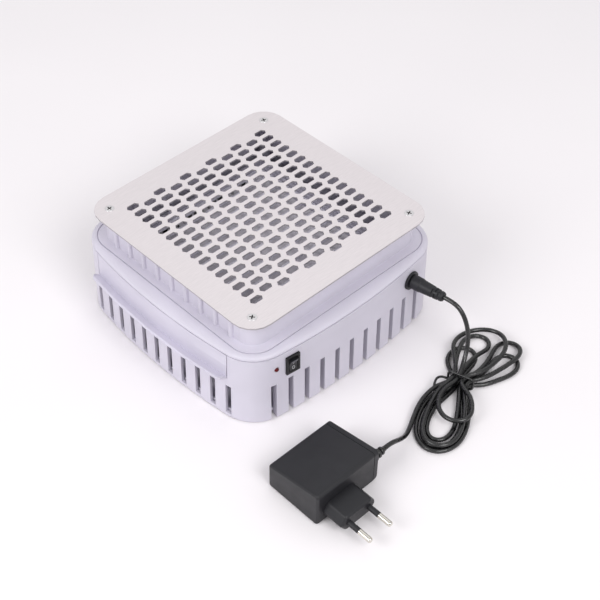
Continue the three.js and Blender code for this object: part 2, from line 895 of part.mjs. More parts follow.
// One blade in plan: it leans back as it goes out
function bladeShape() {
  const middle = [];
  for (let i = 0; i <= bladeSteps; i += 1) {
    const share = i / bladeSteps;
    const radius = bladeStart + (impellerRadius - bladeStart) * share;
    const angle = -bladeSweep * share;
    middle.push(new THREE.Vector2(radius * Math.cos(angle), radius * Math.sin(angle)));
  }
  const side = (sign) => middle.map((point, i) => {
    const before = middle[Math.max(i - 1, 0)];
    const after = middle[Math.min(i + 1, bladeSteps)];
    const aside = after.clone().sub(before).rotateAround(new THREE.Vector2(), Math.PI / 2);
    return point.clone().add(aside.setLength(sign * bladeThick / 2));
  });
  return new THREE.Shape([...side(-1), ...side(1).reverse()]);
}

function impeller() {
  const foot = mountTop + impellerLift;
  const inner = motorRadius + hubGap;
  const crown = shelfFoot - inletRingDepth - bladeClearance;
  const hub = turned([
    [inner, foot],
    [impellerRadius, foot],
    [impellerRadius, foot + impellerPlate],
    [inner + hubWall, foot + impellerPlate],
    [inner + hubWall, hubTop],
    [boreRadius, hubTop],
    [boreRadius, hubTop - hubWall],
    [inner, hubTop - hubWall],
    [inner, foot],
  ]);
  const envelope = turned([
    [0, foot + impellerPlate / 2],
    [impellerRadius, foot + impellerPlate / 2],
    [impellerRadius, crown],
    [inletRadius + inletRingThick, crown],
    [bladeStart - overrun, bladeInletTop],
    [0, bladeInletTop],
  ]);
  const blade = common(prism(bladeShape(), foot, crown + overrun), envelope);
  const bladeForm = asGeometry(blade);
  const angles = evenSpots(bladeCount, 2 * Math.PI / bladeCount);
  return join([hub, ...angles.map((angle) => bladeForm.clone().rotateZ(angle))]);
}

function impellerNut() {
  const foot = hubTop + seatGap;
  return hexNut(boreRadius, nutRadius, foot, foot + nutHeight);
}

// Drawer: a bowed front with a pull lip, a tray with an open floor, and the pleated filter in it

const trayInner = traySide - drawerWall;
const trayBackInner = drawerBack - drawerWall;
const trayFloorTop = drawerFoot + drawerFloor;

function drawerOutline(profile, inset) {
  return loft(profile.map(([reach, z]) => ring(housingPlan, inset - reach - flareAt(z), z)));
}

function drawerFront() {
  const far = housingHalf + lipReach + overrun;
  const face = [[0, drawerFoot], [0, lipRootZ - lipEdgeRound], [lipRootReach, lipRootZ], [0, drawerTop]];
  const blank = drawerOutline(face, 0);
  const slab = block(-drawerHalfWidth, drawerHalfWidth, -far, trayFront, drawerFoot, drawerTop);
  const lipFace = [
    [0, lipLow - lipEdgeRound],
    [lipReach - lipEdgeRound, lipLow],
    [lipReach, lipLow + lipEdgeRound],
    [lipReach, lipTop - lipEdgeRound],
    [lipReach - lipEdgeRound, lipTop],
    [0, lipRootZ],
  ];
  const lipPlan = roundedShape(-drawerHalfWidth, drawerHalfWidth, -far, trayFront, lipEndRound);
  const reachAtEnd = wallReachAt(drawerHalfWidth) + lipReach + lipEndProud;
  const lipSpan = [lipLow - overrun, lipRootZ + overrun];
  const lipMiddle = drawerHalfWidth - lipEndRound;
  const lipEnds = join([
    prism(lipPlan, ...lipSpan).translate(0, far - reachAtEnd, 0),
    block(-lipMiddle, lipMiddle, -far, trayFront, ...lipSpan),
  ]);
  return common(join([blank, common(drawerOutline(lipFace, 0), lipEnds)]), slab);
}

// How far out the wall is at a distance along it from its middle
function wallReachAt(along) {
  return Math.sqrt(housingPlan.sideRadius ** 2 - along ** 2) - housingPlan.back;
}

function drawer() {
  const far = housingHalf + overrun;
  const tray = common(
    block(-traySide, traySide, -far, drawerBack, drawerFoot, drawerTrayTop),
    housingBlank(drawerPanelThick / 2, drawerFoot, drawerTrayTop),
  );
  const front = drawerFront();
  const pocket = common(
    block(-trayInner, trayInner, -far, trayFront - drawerWall, trayFloorTop, drawerTop + overrun),
    housingBlank(drawerPanelThick, trayFloorTop, drawerTop + overrun),
  );
  const cavity = block(-trayInner, trayInner, trayFront, trayBackInner, trayFloorTop, drawerTop + overrun);
  const cellWidth = (2 * (trayInner - trayRim) + trayBar) / trayOpeningsAcross;
  const cellDepth = (trayBackInner - trayFront - 2 * trayRim + trayBar) / trayOpeningsDeep;
  const openings = [];
  for (const x of evenSpots(trayOpeningsAcross, cellWidth)) {
    for (const y of evenSpots(trayOpeningsDeep, cellDepth, (trayBackInner + trayFront) / 2)) {
      const [halfX, halfY] = [(cellWidth - trayBar) / 2, (cellDepth - trayBar) / 2];
      const span = [drawerFoot - overrun, trayFloorTop + overrun];
      openings.push(block(x - halfX, x + halfX, y - halfY, y + halfY, ...span));
    }
  }
  const above = block(-far, far, trayFront - drawerWall, far, drawerTrayTop, drawerTop + overrun);
  return cut(join([tray, front]), [pocket, cavity, above, ...openings]);
}

const frameHalf = trayInner - filterPlay;
const frameFront = trayFront + filterPlay;
const frameBack = trayBackInner - filterPlay;
const frameFoot = trayFloorTop + seatGap;
const frameTop = frameFoot + filterFrameHeight;

function filterFrame() {
  const [x, y0, y1] = [frameHalf, frameFront, frameBack];
  const walled = cut(block(-x, x, y0, y1, frameFoot, frameTop), [
    block(-x + filterFrameWall, x - filterFrameWall, y0 + filterFrameWall, y1 - filterFrameWall,
      frameFoot + filterLedgeThick, frameTop + overrun),
    block(-x + filterLedge, x - filterLedge, y0 + filterLedge, y1 - filterLedge,
      frameFoot - overrun, frameTop + overrun),
  ]);
  const ribs = spotsWithin(frameHalf - filterRibMargin, filterRibCount).map((at) => block(
    at - filterRibWidth / 2, at + filterRibWidth / 2,
    y0 + filterFrameWall / 2, y1 - filterFrameWall / 2,
    frameTop - filterRibDrop - filterRibHeight, frameTop - filterRibDrop,
  ));
  return join([walled, ...ribs]);
}

function filterMedia() {
  const half = frameHalf - filterFrameWall - seatGap;
  const [y0, y1] = [frameFront + filterFrameWall + seatGap, frameBack - filterFrameWall - seatGap];
  const foot = frameFoot + filterLedgeThick + seatGap;
  const step = (y1 - y0) / (2 * pleatCount);
  const folds = evenSpots(2 * pleatCount + 1, step, (y0 + y1) / 2)
    .map((y, i) => [y, foot + (i % 2) * pleatHeight]);
  const over = folds.map(([y, z]) => [y, z + mediaThick]).reverse();
  return prismAlongX(polygon([...folds, ...over]), -half, half);
}

// Switch: a body with a bezel and a rocker that tips about a level axis

function switchBody() {
  const [w, h] = [switchBodyWidth / 2, switchBodyHeight / 2];
  const bezel = prismAlongX(
    roundedShape(-switchWidth / 2, switchWidth / 2, -switchHeight / 2, switchHeight / 2, switchFlangeRound),
    seatGap, seatGap + switchFlange,
  );
  const well = block(
    -rockerDepth - rockerPivot - switchWall, overrun,
    -w + switchWall, w - switchWall,
    -h + switchWall, h - switchWall,
  );
  return cut(join([bezel, block(-switchBodyDepth, seatGap + switchFlange / 2, -w, w, -h, h)]), [well]);
}

function rocker() {
  const reach = switchBodyHeight / 2 - switchWall - 2 * seatGap;
  const side = polygon([
    [-rockerDepth, -reach * rockerFootShare],
    [rockerRise, -reach],
    [rockerDip, 0],
    [rockerRise, reach],
    [-rockerDepth, reach * rockerFootShare],
  ]);
  const half = switchBodyWidth / 2 - switchWall - seatGap;
  const form = prismAlongY(side, -half, half);
  return form.rotateY(THREE.MathUtils.degToRad(rockerTilt)).translate(rockerPivot, 0, 0);
}

// Lamp and board

function lamp() {
  const profile = [[0, lampProud - lampLength], [lampFlangeRadius, lampProud - lampLength]];
  profile.push([lampFlangeRadius, lampProud - lampLength + lampFlangeThick]);
  profile.push([lampRadius, lampProud - lampLength + lampFlangeThick], [lampRadius, lampProud - lampRadius]);
  for (const angle of [30, 60, 90]) {
    const turn = THREE.MathUtils.degToRad(angle);
    profile.push([lampRadius * Math.cos(turn), lampProud - lampRadius + lampRadius * Math.sin(turn)]);
  }
  return outward(turned(profile, smallSteps));
}

function lampBoard() {
  const foot = shelfTop + seatGap;
  return block(
    boardX0, boardX0 + boardThick, boardY - boardWidth / 2, boardY + boardWidth / 2, foot, foot + boardHeight,
  );
}

// Power jack and the plug in it, drawn along local X

function powerJack() {
  const face = seatGap + jackFlangeThick;
  const profile = [
    [0, -jackDepth],
    [jackRadius, -jackDepth],
    [jackRadius, seatGap],
    [jackFlangeRadius, seatGap],
    [jackFlangeRadius, face - jackFlangeThick / 2],
    [jackFlangeRadius - jackFlangeThick / 2, face],
    [jackBoreRadius, face],
    [jackBoreRadius, face - jackBoreDepth],
    [jackPinRadius, face - jackBoreDepth],
    [jackPinRadius, 0],
    [0, 0],
  ];
  return outward(turned(profile, motorSteps));
}

function jackNut() {
  const far = -housingWall - seatGap;
  return outward(hexNut(jackRadius + seatGap, jackNutRadius, far - jackNutThick, far));
}

const gripFoot = 2 * seatGap + jackFlangeThick;

function plugBarrel() {
  const inner = gripFoot - seatGap - barrelDepth;
  return outward(tubeRing(barrelBore, barrelRadius, inner, gripFoot + barrelSeat, smallSteps));
}

function plugGrip() {
  const bore = barrelRadius + seatGap;
  return outward(turned([
    [bore, gripFoot],
    [gripRadius - seatGap, gripFoot],
    [gripRadius, gripFoot + seatGap],
    [gripMidRadius, gripMid],
    [gripNeckRadius + seatGap, gripNeck],
    [gripNeckRadius, gripNeck + seatGap],
    [gripEndRadius, gripLength - seatGap],
    [gripEndRadius - seatGap, gripLength],
    [0, gripLength],
    [0, gripFoot + barrelSeat + seatGap],
    [bore, gripFoot + barrelSeat + seatGap],
    [bore, gripFoot],
  ], smallSteps));
}

// Tubes along a curve

function section(radius, sides) {
  const corners = Array.from({ length: sides }, (_, i) => {
    const angle = 2 * Math.PI * i / sides;
    return new THREE.Vector2(radius * Math.cos(angle), radius * Math.sin(angle));
  });
  return new THREE.Shape(corners);
}

function tubeAlong(curve, radius, sides, steps) {
  const options = { steps, bevelEnabled: false, extrudePath: curve };
  return new THREE.ExtrudeGeometry(section(radius, sides), options);
}

// A cord from one fitting to another: it leaves each one straight for a diameter
function freeCord(start, startAlong, route, end, endAlong) {
  const straight = 2 * cordRadius;
  const points = [
    start,
    start.clone().addScaledVector(startAlong, straight),
    ...route.map((point) => new THREE.Vector3(...point)),
    end.clone().addScaledVector(endAlong, -straight),
    end,
  ];
  const curve = new THREE.CatmullRomCurve3(points, false, 'centripetal');
  return { curve, form: tubeAlong(curve, cordRadius, cordSides, Math.round(curve.getLength() / cordStep)) };
}

// The hank: waisted loops in two layers that spiral in, climb, and spiral out again
const hankAngle = THREE.MathUtils.degToRad(hankTurn);
const hankFloor = tieThick + seatGap + cordRadius;

class HankPath extends THREE.Curve {
  constructor() {
    super();
    this.turns = hankLoops + (hankEndAngle - hankStartAngle) / 360;
    this.steps = Math.round(this.turns * hankStepsPerLoop) + 2;
  }

  getUtoTmapping(u) {
    return u;
  }

  loopPoint(turn) {
    const angle = THREE.MathUtils.degToRad(hankStartAngle + turn * 360);
    const depth = Math.min(turn, this.turns - turn);
    const [low, high] = [this.turns - hankClimbTurns, this.turns + hankClimbTurns];
    const climb = THREE.MathUtils.smoothstep(turn, low / 2, high / 2);
    const lean = Math.cos(angle);
    const middleSwell = (hankUpperSwell + hankLowerSwell) / 2;
    const endSwell = middleSwell - (hankUpperSwell - hankLowerSwell) * lean * Math.SQRT1_2;
    const swell = endSwell - hankSwellPitch * depth;
    const across = -Math.sin(angle) * (hankWaist - hankPitch * depth + swell * lean ** 2);
    const along = -(hankReach - hankPitch * depth) * lean;
    return new THREE.Vector3(across, along, hankFloor + climb * hankLayerStep);
  }

  getPoint(t) {
    const step = t * this.steps;
    const last = this.steps - 2;
    const turn = THREE.MathUtils.clamp((step - 1) / last, 0, 1) * this.turns;
    const past = step < 1 ? step - 1 : Math.max(step - 1 - last, 0);
    const before = turn - Math.sign(past) * hankTangentTurns;
    const point = this.loopPoint(turn);
    if (past !== 0) {
      const along = point.clone().sub(this.loopPoint(before)).setZ(0).normalize();
      point.addScaledVector(along, Math.abs(past) * 2 * cordRadius);
    }
    return point.applyAxisAngle(up, hankAngle).add(new THREE.Vector3(hankX, hankY, 0));
  }

  // The least distance between its turns, from the surface of one to the surface of the next
  leastGap() {
    const marks = [];
    const nodes = this.getSpacedPoints(this.steps);
    for (let i = 0; i + 1 < nodes.length; i += 1) {
      for (let k = 0; k < hankGapSamples; k += 1) {
        const share = k / hankGapSamples;
        marks.push({ point: nodes[i].clone().lerp(nodes[i + 1], share), step: i + share });
      }
    }
    let least = Infinity;
    for (const a of marks) {
      for (const b of marks) {
        if (b.step - a.step < 3) continue;
        least = Math.min(least, a.point.distanceTo(b.point));
      }
    }
    return least - 2 * cordRadius;
  }
}

const hankPath = new HankPath();

function endAndTangent(curve, t) {
  return { point: curve.getPoint(t), along: curve.getTangent(t) };
}

const hankStart = endAndTangent(hankPath, 0);
const hankEnd = endAndTangent(hankPath, 1);

function plugEnd() {
  const point = new THREE.Vector3(gripLength + seatGap, 0, 0).applyMatrix4(jackFrame);
  const along = new THREE.Vector3(1, 0, 0).transformDirection(jackFrame);
  return { point, along };
}

function upperCord() {
  const from = plugEnd();
  const to = hankEnd.point.clone().addScaledVector(hankEnd.along, seatGap);
  return freeCord(from.point, from.along, upperCordRoute, to, hankEnd.along.clone().negate());
}

function lowerCord() {
  const from = hankStart.point.clone().addScaledVector(hankStart.along, -seatGap);
  const to = new THREE.Vector3(reliefX, adapterBack + seatGap + reliefLength + seatGap, reliefZ);
  return freeCord(from, hankStart.along.clone().negate(), lowerCordRoute, to, new THREE.Vector3(0, -1, 0));
}

// A wire tie round the waist, with its twisted tail to one side
function twistTie() {
  const half = hankWaist + cordRadius + seatGap + tieThick;
  const top = hankFloor + hankLayerStep + cordRadius + seatGap + tieThick;
  const band = roundedShape(-half, half, 0, top, tieRound);
  const inside = half - tieThick;
  band.holes.push(roundedShape(-inside, inside, tieThick, top - tieThick, tieRound - tieThick));
  const loop = prismAlongY(band, -tieWidth / 2, tieWidth / 2);
  const tail = new THREE.CatmullRomCurve3([
    new THREE.Vector3(-half + tieThick / 4, 0, top / 2),
    new THREE.Vector3(-half - tieWidth, -tieWidth / 2, top / 2 + tieThick),
    new THREE.Vector3(-half - 2 * tieWidth, -tieTailLength / 2, top / 2),
    new THREE.Vector3(-half - tieWidth, -tieTailLength, tieThick * 2),
  ]);
  const form = asGeometry(join([loop, tubeAlong(tail, tieThick, hankSides, tieTailSteps)]));
  return form.rotateZ(hankAngle).translate(hankX, hankY, 0);
}

// Leads inside the housing: jack to switch, and switch to motor

function leadThrough(from, out, route, to, into) {
  const start = from.clone().addScaledVector(out, leadStandoff / 2);
  const end = to.clone().addScaledVector(into, -leadStandoff / 2);
  const curve = new THREE.CatmullRomCurve3([from, start, ...route, end, to], false, 'centripetal');
  return tubeAlong(curve, leadRadius, leadSides, leadSteps);
}

function backOf(frame, depth, z) {
  return {
    point: new THREE.Vector3(-depth - seatGap, 0, z).applyMatrix4(frame),
    inward: new THREE.Vector3(-1, 0, 0).transformDirection(frame),
  };
}

function jackLead() {
  const jack = backOf(jackFrame, jackDepth, 0);
  const rear = backOf(switchFrame, switchBodyDepth, terminalRise);
  const run = Math.min(jack.point.x, rear.point.x) - leadStandoff;
  const route = [
    new THREE.Vector3(run, jack.point.y - 3 * leadStandoff, jack.point.z - leadStandoff),
    new THREE.Vector3(run, 0, shelfTop + leadStandoff),
    new THREE.Vector3(run, rear.point.y + 3 * leadStandoff, rear.point.z - leadStandoff),
  ];
  return leadThrough(jack.point, jack.inward, route, rear.point, rear.inward.negate());
}

function motorLead() {
  const rear = backOf(switchFrame, switchBodyDepth, -terminalRise);
  const floor = bottomTop + seatGap + 1.5 * leadRadius;
  const away = new THREE.Vector3(leadHoleX, leadHoleY, 0).normalize();
  const onFloor = (radius, height = 0) => away.clone().multiplyScalar(radius).setZ(floor + height);
  const route = [
    new THREE.Vector3(leadHoleX, leadHoleY, shelfTop + leadStandoff / 2),
    new THREE.Vector3(leadHoleX, leadHoleY, shelfFoot - leadStandoff),
    new THREE.Vector3(leadHoleX, leadHoleY, floor + 3 * leadStandoff),
    onFloor(impellerRadius + 3 * leadStandoff, leadStandoff),
    onFloor(impellerRadius + leadStandoff),
    onFloor((impellerRadius + mountRadius) / 2),
  ];
  return leadThrough(rear.point, rear.inward, route, onFloor(mountRadius + seatGap), away.clone().negate());
}

// Power supply

const adapterBack = adapterY + adapterLength;
const adapterFace = adapterX + adapterWidth;

// The side view of the case: flat underneath, with a top that rises towards the plug
function adapterShape() {
  const rise = (adapterHighHeight - adapterLowHeight) / adapterWidth;
  const shape = new THREE.Shape();
  const round = adapterRound;
  const slope = Math.atan(rise);
  const corner = (x, z, from, to) => shape.absarc(x, z, round, from, to);
  corner(adapterX + round, round, Math.PI, 1.5 * Math.PI);
  corner(adapterFace - round, round, -Math.PI / 2, 0);
  corner(adapterFace - round, adapterHighHeight - round * (1 + rise), 0, Math.PI / 2 + slope);
  corner(adapterX + round, adapterLowHeight - round * (1 - rise), Math.PI / 2 + slope, Math.PI);
  shape.closePath();
  return shape;
}

function adapterCase() {
  return prismAlongY(adapterShape(), adapterY, adapterBack - adapterCap - seatGap, adapterEdge);
}

function adapterEndCap() {
  const body = prismAlongY(adapterShape(), adapterBack - adapterCap, adapterBack, adapterEdge);
  const chamfer = polygon([
    [adapterBack - adapterCapSlope, -overrun],
    [adapterBack + overrun, -overrun],
    [adapterBack + overrun, adapterCapSlope + overrun],
    [adapterBack, adapterCapSlope],
    [adapterBack - adapterCapSlope, 0],
  ]);
  return cut(body, [prismAlongX(chamfer, adapterX - overrun, adapterFace + overrun)]);
}

function cordRelief() {
  const profile = [[0, 0], [reliefRadius, 0]];
  for (let i = 0; i < reliefRibs; i += 1) {
    const along = (share) => (i + share) / (reliefRibs + 1);
    const at = (share) => reliefLength * along(share);
    const radius = (share) => THREE.MathUtils.lerp(reliefRadius, reliefEndRadius, along(share));
    const [edge, dip, rise] = reliefRibShares;
    profile.push([radius(edge), at(edge)], [radius(edge) - reliefRibDepth, at(dip)]);
    profile.push([radius(rise) - reliefRibDepth, at(rise)], [radius(1), at(1)]);
  }
  profile.push([reliefEndRadius, reliefLength], [0, reliefLength]);
  const form = turned(profile, smallSteps).rotateX(-Math.PI / 2);
  return form.translate(reliefX, adapterBack + seatGap, reliefZ);
}

function plugBlock() {
  const [w, f, h] = [plugBlockHalfWidth, plugBlockFlatHalf, plugBlockHalfHeight];
  const side = polygon([[-f, -h], [f, -h], [w, 0], [f, h], [-f, h], [-w, 0]]);
  const start = adapterFace + seatGap;
  const form = prismAlongX(side, start - plugBlockEdge, start + plugBlockLength, plugBlockEdge);
  const trimmed = cut(form, [block(start - overrun, start, -2 * w, 2 * w, -2 * h, 2 * h)]);
  return asGeometry(trimmed).translate(0, plugBlockY, plugBlockZ);
}

const pinFoot = adapterFace + plugBlockLength + 2 * seatGap;

function pinPlaced(form, side) {
  return outward(form).translate(pinFoot, plugBlockY + side * pinSpacing / 2, plugBlockZ);
}

function pinSleeve(side) {
  const inner = pinCoreRadius + seatGap;
  return pinPlaced(tubeRing(inner, inner + sleeveWall, 0, sleeveLength, smallSteps), side);
}

function pin(side) {
  const shoulder = sleeveLength + seatGap;
  return pinPlaced(turned([
    [0, 0],
    [pinCoreRadius, 0],
    [pinCoreRadius, shoulder],
    [pinRadius, shoulder],
    [pinRadius, pinLength - pinTip],
    [pinRadius - pinTip, pinLength],
    [0, pinLength],
  ], smallSteps), side);
}

// Materials: colours from the photograph

function plain(color, roughness, metalness = 0) {
  return () => new THREE.MeshStandardMaterial({ color, roughness, metalness });
}

const lavenderPlastic = plain(0xd2cee4, 0.45);
const drawerPlastic = plain(0xd6d2e6, 0.45);
const brushedSteel = plain(0xd9d4d8, 0.35, 0.9);
const screwSteel = plain(0xb9b9bd, 0.3, 1);
const blackPlastic = plain(0x1d1d20, 0.5);
const blackRubber = plain(0x161618, 0.75);
const greyPlastic = plain(0x3a3a3e, 0.5);
const filterCloth = plain(0x8d8f96, 0.95);
const motorSteel = plain(0x8b8d92, 0.4, 0.9);
const copper = plain(0x9c5a34, 0.45, 0.8);
const boardGreen = plain(0x2f5b3c, 0.6);
const redLens = plain(0x5a1216, 0.2);
const whiteRubber = plain(0xdad8e0, 0.8);
const nickel = plain(0xd8d5cf, 0.2, 1);

// Assembly

// The origin lies under the middle of the box that holds the housing and the drawer's lip
const lipFront = housingHalf + lipReach + flareAt(lipLow + lipEdgeRound);
const housingBack = housingHalf + flareAt(wallFoot + wallFootBevel);

const dustCollector = new THREE.Group();
dustCollector.position.y = (lipFront - housingBack) / 2;

function piece(name, form, material) {
  const mesh = new THREE.Mesh(asGeometry(form), material());
  mesh.name = name;
  dustCollector.add(mesh);
  return mesh;
}

function pieces(name, forms, material) {
  forms.forEach((form, i) => piece(`${name}_${i + 1}`, form, material));
}

piece('base_housing', baseHousing(), lavenderPlastic);
piece('bottom_cover', bottomCover(), lavenderPlastic);
pieces('foot', atCorners(foot(), footSpot), whiteRubber);
piece('top_cover', topCover(), lavenderPlastic);
piece('grille_plate', grillePlate(), brushedSteel);
pieces('plate_screw', atCorners(plateScrew(), plateScrewSpot), screwSteel);
pieces('case_screw', atCorners(caseScrew(), postSpot), screwSteel);
piece('fan_shelf', fanShelf(), lavenderPlastic);

piece('motor_mount', motorMount(), greyPlastic);
piece('motor_case', motorCase(), motorSteel);
piece('motor_stator', motorStator(), copper);
piece('bearing_lower', bearing(lowerBearingFoot), motorSteel);
piece('bearing_upper', bearing(upperBearingFoot), motorSteel);
pieces('motor_screw', aroundMotor(motorScrew()), screwSteel);
piece('motor_rotor', rotor(), motorSteel);
piece('motor_shaft', shaft(), screwSteel);
piece('impeller', impeller(), greyPlastic);
piece('impeller_nut', impellerNut(), screwSteel);

piece('drawer', drawer(), drawerPlastic);
piece('filter_frame', filterFrame(), lavenderPlastic);
piece('filter_media', filterMedia(), filterCloth);

piece('switch_body', mountedOn(switchFrame, asGeometry(switchBody())), blackPlastic);
piece('switch_rocker', mountedOn(switchFrame, rocker()), blackPlastic);
piece('lamp', mountedOn(lampFrame, lamp()), redLens);
piece('lamp_board', lampBoard(), boardGreen);
piece('power_jack', mountedOn(jackFrame, powerJack()), blackPlastic);
piece('jack_nut', mountedOn(jackFrame, jackNut()), blackPlastic);
piece('jack_lead', jackLead(), blackRubber);
piece('motor_lead', motorLead(), blackRubber);

piece('plug_barrel', mountedOn(jackFrame, plugBarrel()), nickel);
piece('plug_grip', mountedOn(jackFrame, plugGrip()), blackPlastic);
const upperStretch = upperCord();
const lowerStretch = lowerCord();
const hank = tubeAlong(hankPath, cordRadius, hankSides, hankPath.steps);
piece('cord_upper', upperStretch.form, blackRubber);
piece('cord_hank', hank, blackRubber);
piece('cord_tie', twistTie(), blackRubber);
piece('cord_lower', lowerStretch.form, blackRubber);
piece('cord_relief', cordRelief(), blackRubber);
piece('adapter_case', adapterCase(), blackPlastic);
piece('adapter_end_cap', adapterEndCap(), blackPlastic);
piece('plug_block', plugBlock(), blackPlastic);
[-1, 1].forEach((side, i) => {
  piece(`pin_sleeve_${i + 1}`, pinSleeve(side), blackPlastic);
  piece(`pin_${i + 1}`, pin(side), nickel);
});

const hankLength = hankPath.getSpacedPoints(hankPath.steps)
  .reduce((sum, point, i, all) => (i === 0 ? 0 : sum + point.distanceTo(all[i - 1])), 0);
const freeLength = upperStretch.curve.getLength() + lowerStretch.curve.getLength();
console.log(`hank: least gap between turns ${hankPath.leastGap().toFixed(2)} mm`);
console.log(`hank: length ${hankLength.toFixed(0)} mm, free cord: ${freeLength.toFixed(0)} mm`);

export default dustCollector;
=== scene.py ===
# Scene for a desktop dust collector for nail work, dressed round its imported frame.
# Sizes are named in millimetres and turned into metres by MM; only the studio is set in metres.

import json
import math

import bmesh
import bpy
from mathutils import Matrix, Vector


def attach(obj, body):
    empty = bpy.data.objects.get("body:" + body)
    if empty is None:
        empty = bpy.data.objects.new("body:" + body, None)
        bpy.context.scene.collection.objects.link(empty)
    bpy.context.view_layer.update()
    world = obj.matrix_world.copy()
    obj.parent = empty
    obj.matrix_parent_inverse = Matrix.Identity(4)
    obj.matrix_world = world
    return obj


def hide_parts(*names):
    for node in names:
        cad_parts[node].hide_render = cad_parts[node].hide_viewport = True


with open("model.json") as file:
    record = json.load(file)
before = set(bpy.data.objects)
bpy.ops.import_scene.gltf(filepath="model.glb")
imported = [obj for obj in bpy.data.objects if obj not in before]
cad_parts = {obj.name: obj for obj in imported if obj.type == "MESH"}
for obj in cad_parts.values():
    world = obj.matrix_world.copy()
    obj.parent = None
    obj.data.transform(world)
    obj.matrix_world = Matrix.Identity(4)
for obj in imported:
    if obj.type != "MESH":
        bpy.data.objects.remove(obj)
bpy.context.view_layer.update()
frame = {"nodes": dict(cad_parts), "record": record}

MM = 0.001
ORIGIN_SHIFT = 1.99965
UP = Vector((0, 0, 1))

# Camera, at the photograph's viewing angle
CAMERA_PLACE = Vector((507.848, -461.974, 673.827))
CAMERA_RIGHT = Vector((0.66879624, 0.74302404, -0.02503711))
CAMERA_DOWN = Vector((0.51666367, -0.48873728, -0.70298971))
CAMERA_AHEAD = Vector((-0.53457482, 0.45722111, -0.71075918))
FOCAL_SHARE = 1308.027 / 600
SENSOR_WIDTH = 36
SHIFT_SHARES = (0.11384, 0.03115)
CLIP_NEAR = 0.05
CLIP_FAR = 20


def at(point):
    """A place drawn about the fan's axis, in millimetres, as a place in the row frame, in metres."""
    return (Vector(point) + Vector((0, ORIGIN_SHIFT, 0))) * MM


def placed(name, data):
    """An object with the data, in the scene."""
    thing = bpy.data.objects.new(name, data)
    bpy.context.scene.collection.objects.link(thing)
    return thing


def make_camera():
    data = bpy.data.cameras.new("camera")
    data.sensor_width = SENSOR_WIDTH
    data.lens = FOCAL_SHARE * SENSOR_WIDTH
    data.shift_x, data.shift_y = SHIFT_SHARES
    data.clip_start, data.clip_end = CLIP_NEAR, CLIP_FAR
    turn = Matrix((CAMERA_RIGHT, -CAMERA_DOWN, -CAMERA_AHEAD)).transposed()
    camera = placed("camera", data)
    camera.matrix_world = Matrix.Translation(at(CAMERA_PLACE)) @ turn.to_4x4()
    bpy.context.scene.camera = camera


# Cord: the routes of the free stretches, and the hank's loops between them

CORD_RADIUS = 1.6
CORD_STEP = 1.25
CORD_EASING = 18
CORD_STRAIGHT = 6
CORD_RESOLUTION = 6
GRIP_END = (120.62, 60.21, 46.79)
GRIP_ALONG = Vector((0.9931, 0.11536, 0.0209))
UPPER_ROUTE = [
    (132.8, 61.9, 45), (137.8, 62.2, 39.6), (142, 61.9, 32.2), (145.1, 60.4, 24), (147.6, 56.8, 15.8),
    (150.6, 50.6, 10.2),
]
LOWER_ROUTE = [
    (148.8, 29, 4.9), (148.6, 18, 4.8), (151.2, 6.5, 4.8), (155.6, -3.5, 4.2), (160, -12.4, 2.6),
    (163.6, -20, 4.6), (165.9, -26.6, 8.8), (167.5, -32, 13), (168.3, -37, 16.4),
]
RELIEF_MOUTH = (168.5, -45.9, 18)
TIE_MIDDLE = (157, 41)
TIE_HEADING = 107
TIE_REACH = 3.5

# The cord's passes through the tie: how far to the side, how high, and up (1) or down (-1) the hank
TIE_PASSES = [
    (-1.9, 8.2, -1), (1.4, 8.2, 1), (-5.2, 8.2, -1), (4.7, 4.9, 1), (1.4, 4.9, -1), (-1.7, 1.7, 1),
    (-5, 1.7, -1), (5.5, 1.7, 1), (2.2, 1.7, -1), (-2.8, 4.9, 1), (-6.1, 4.9, -1),
]

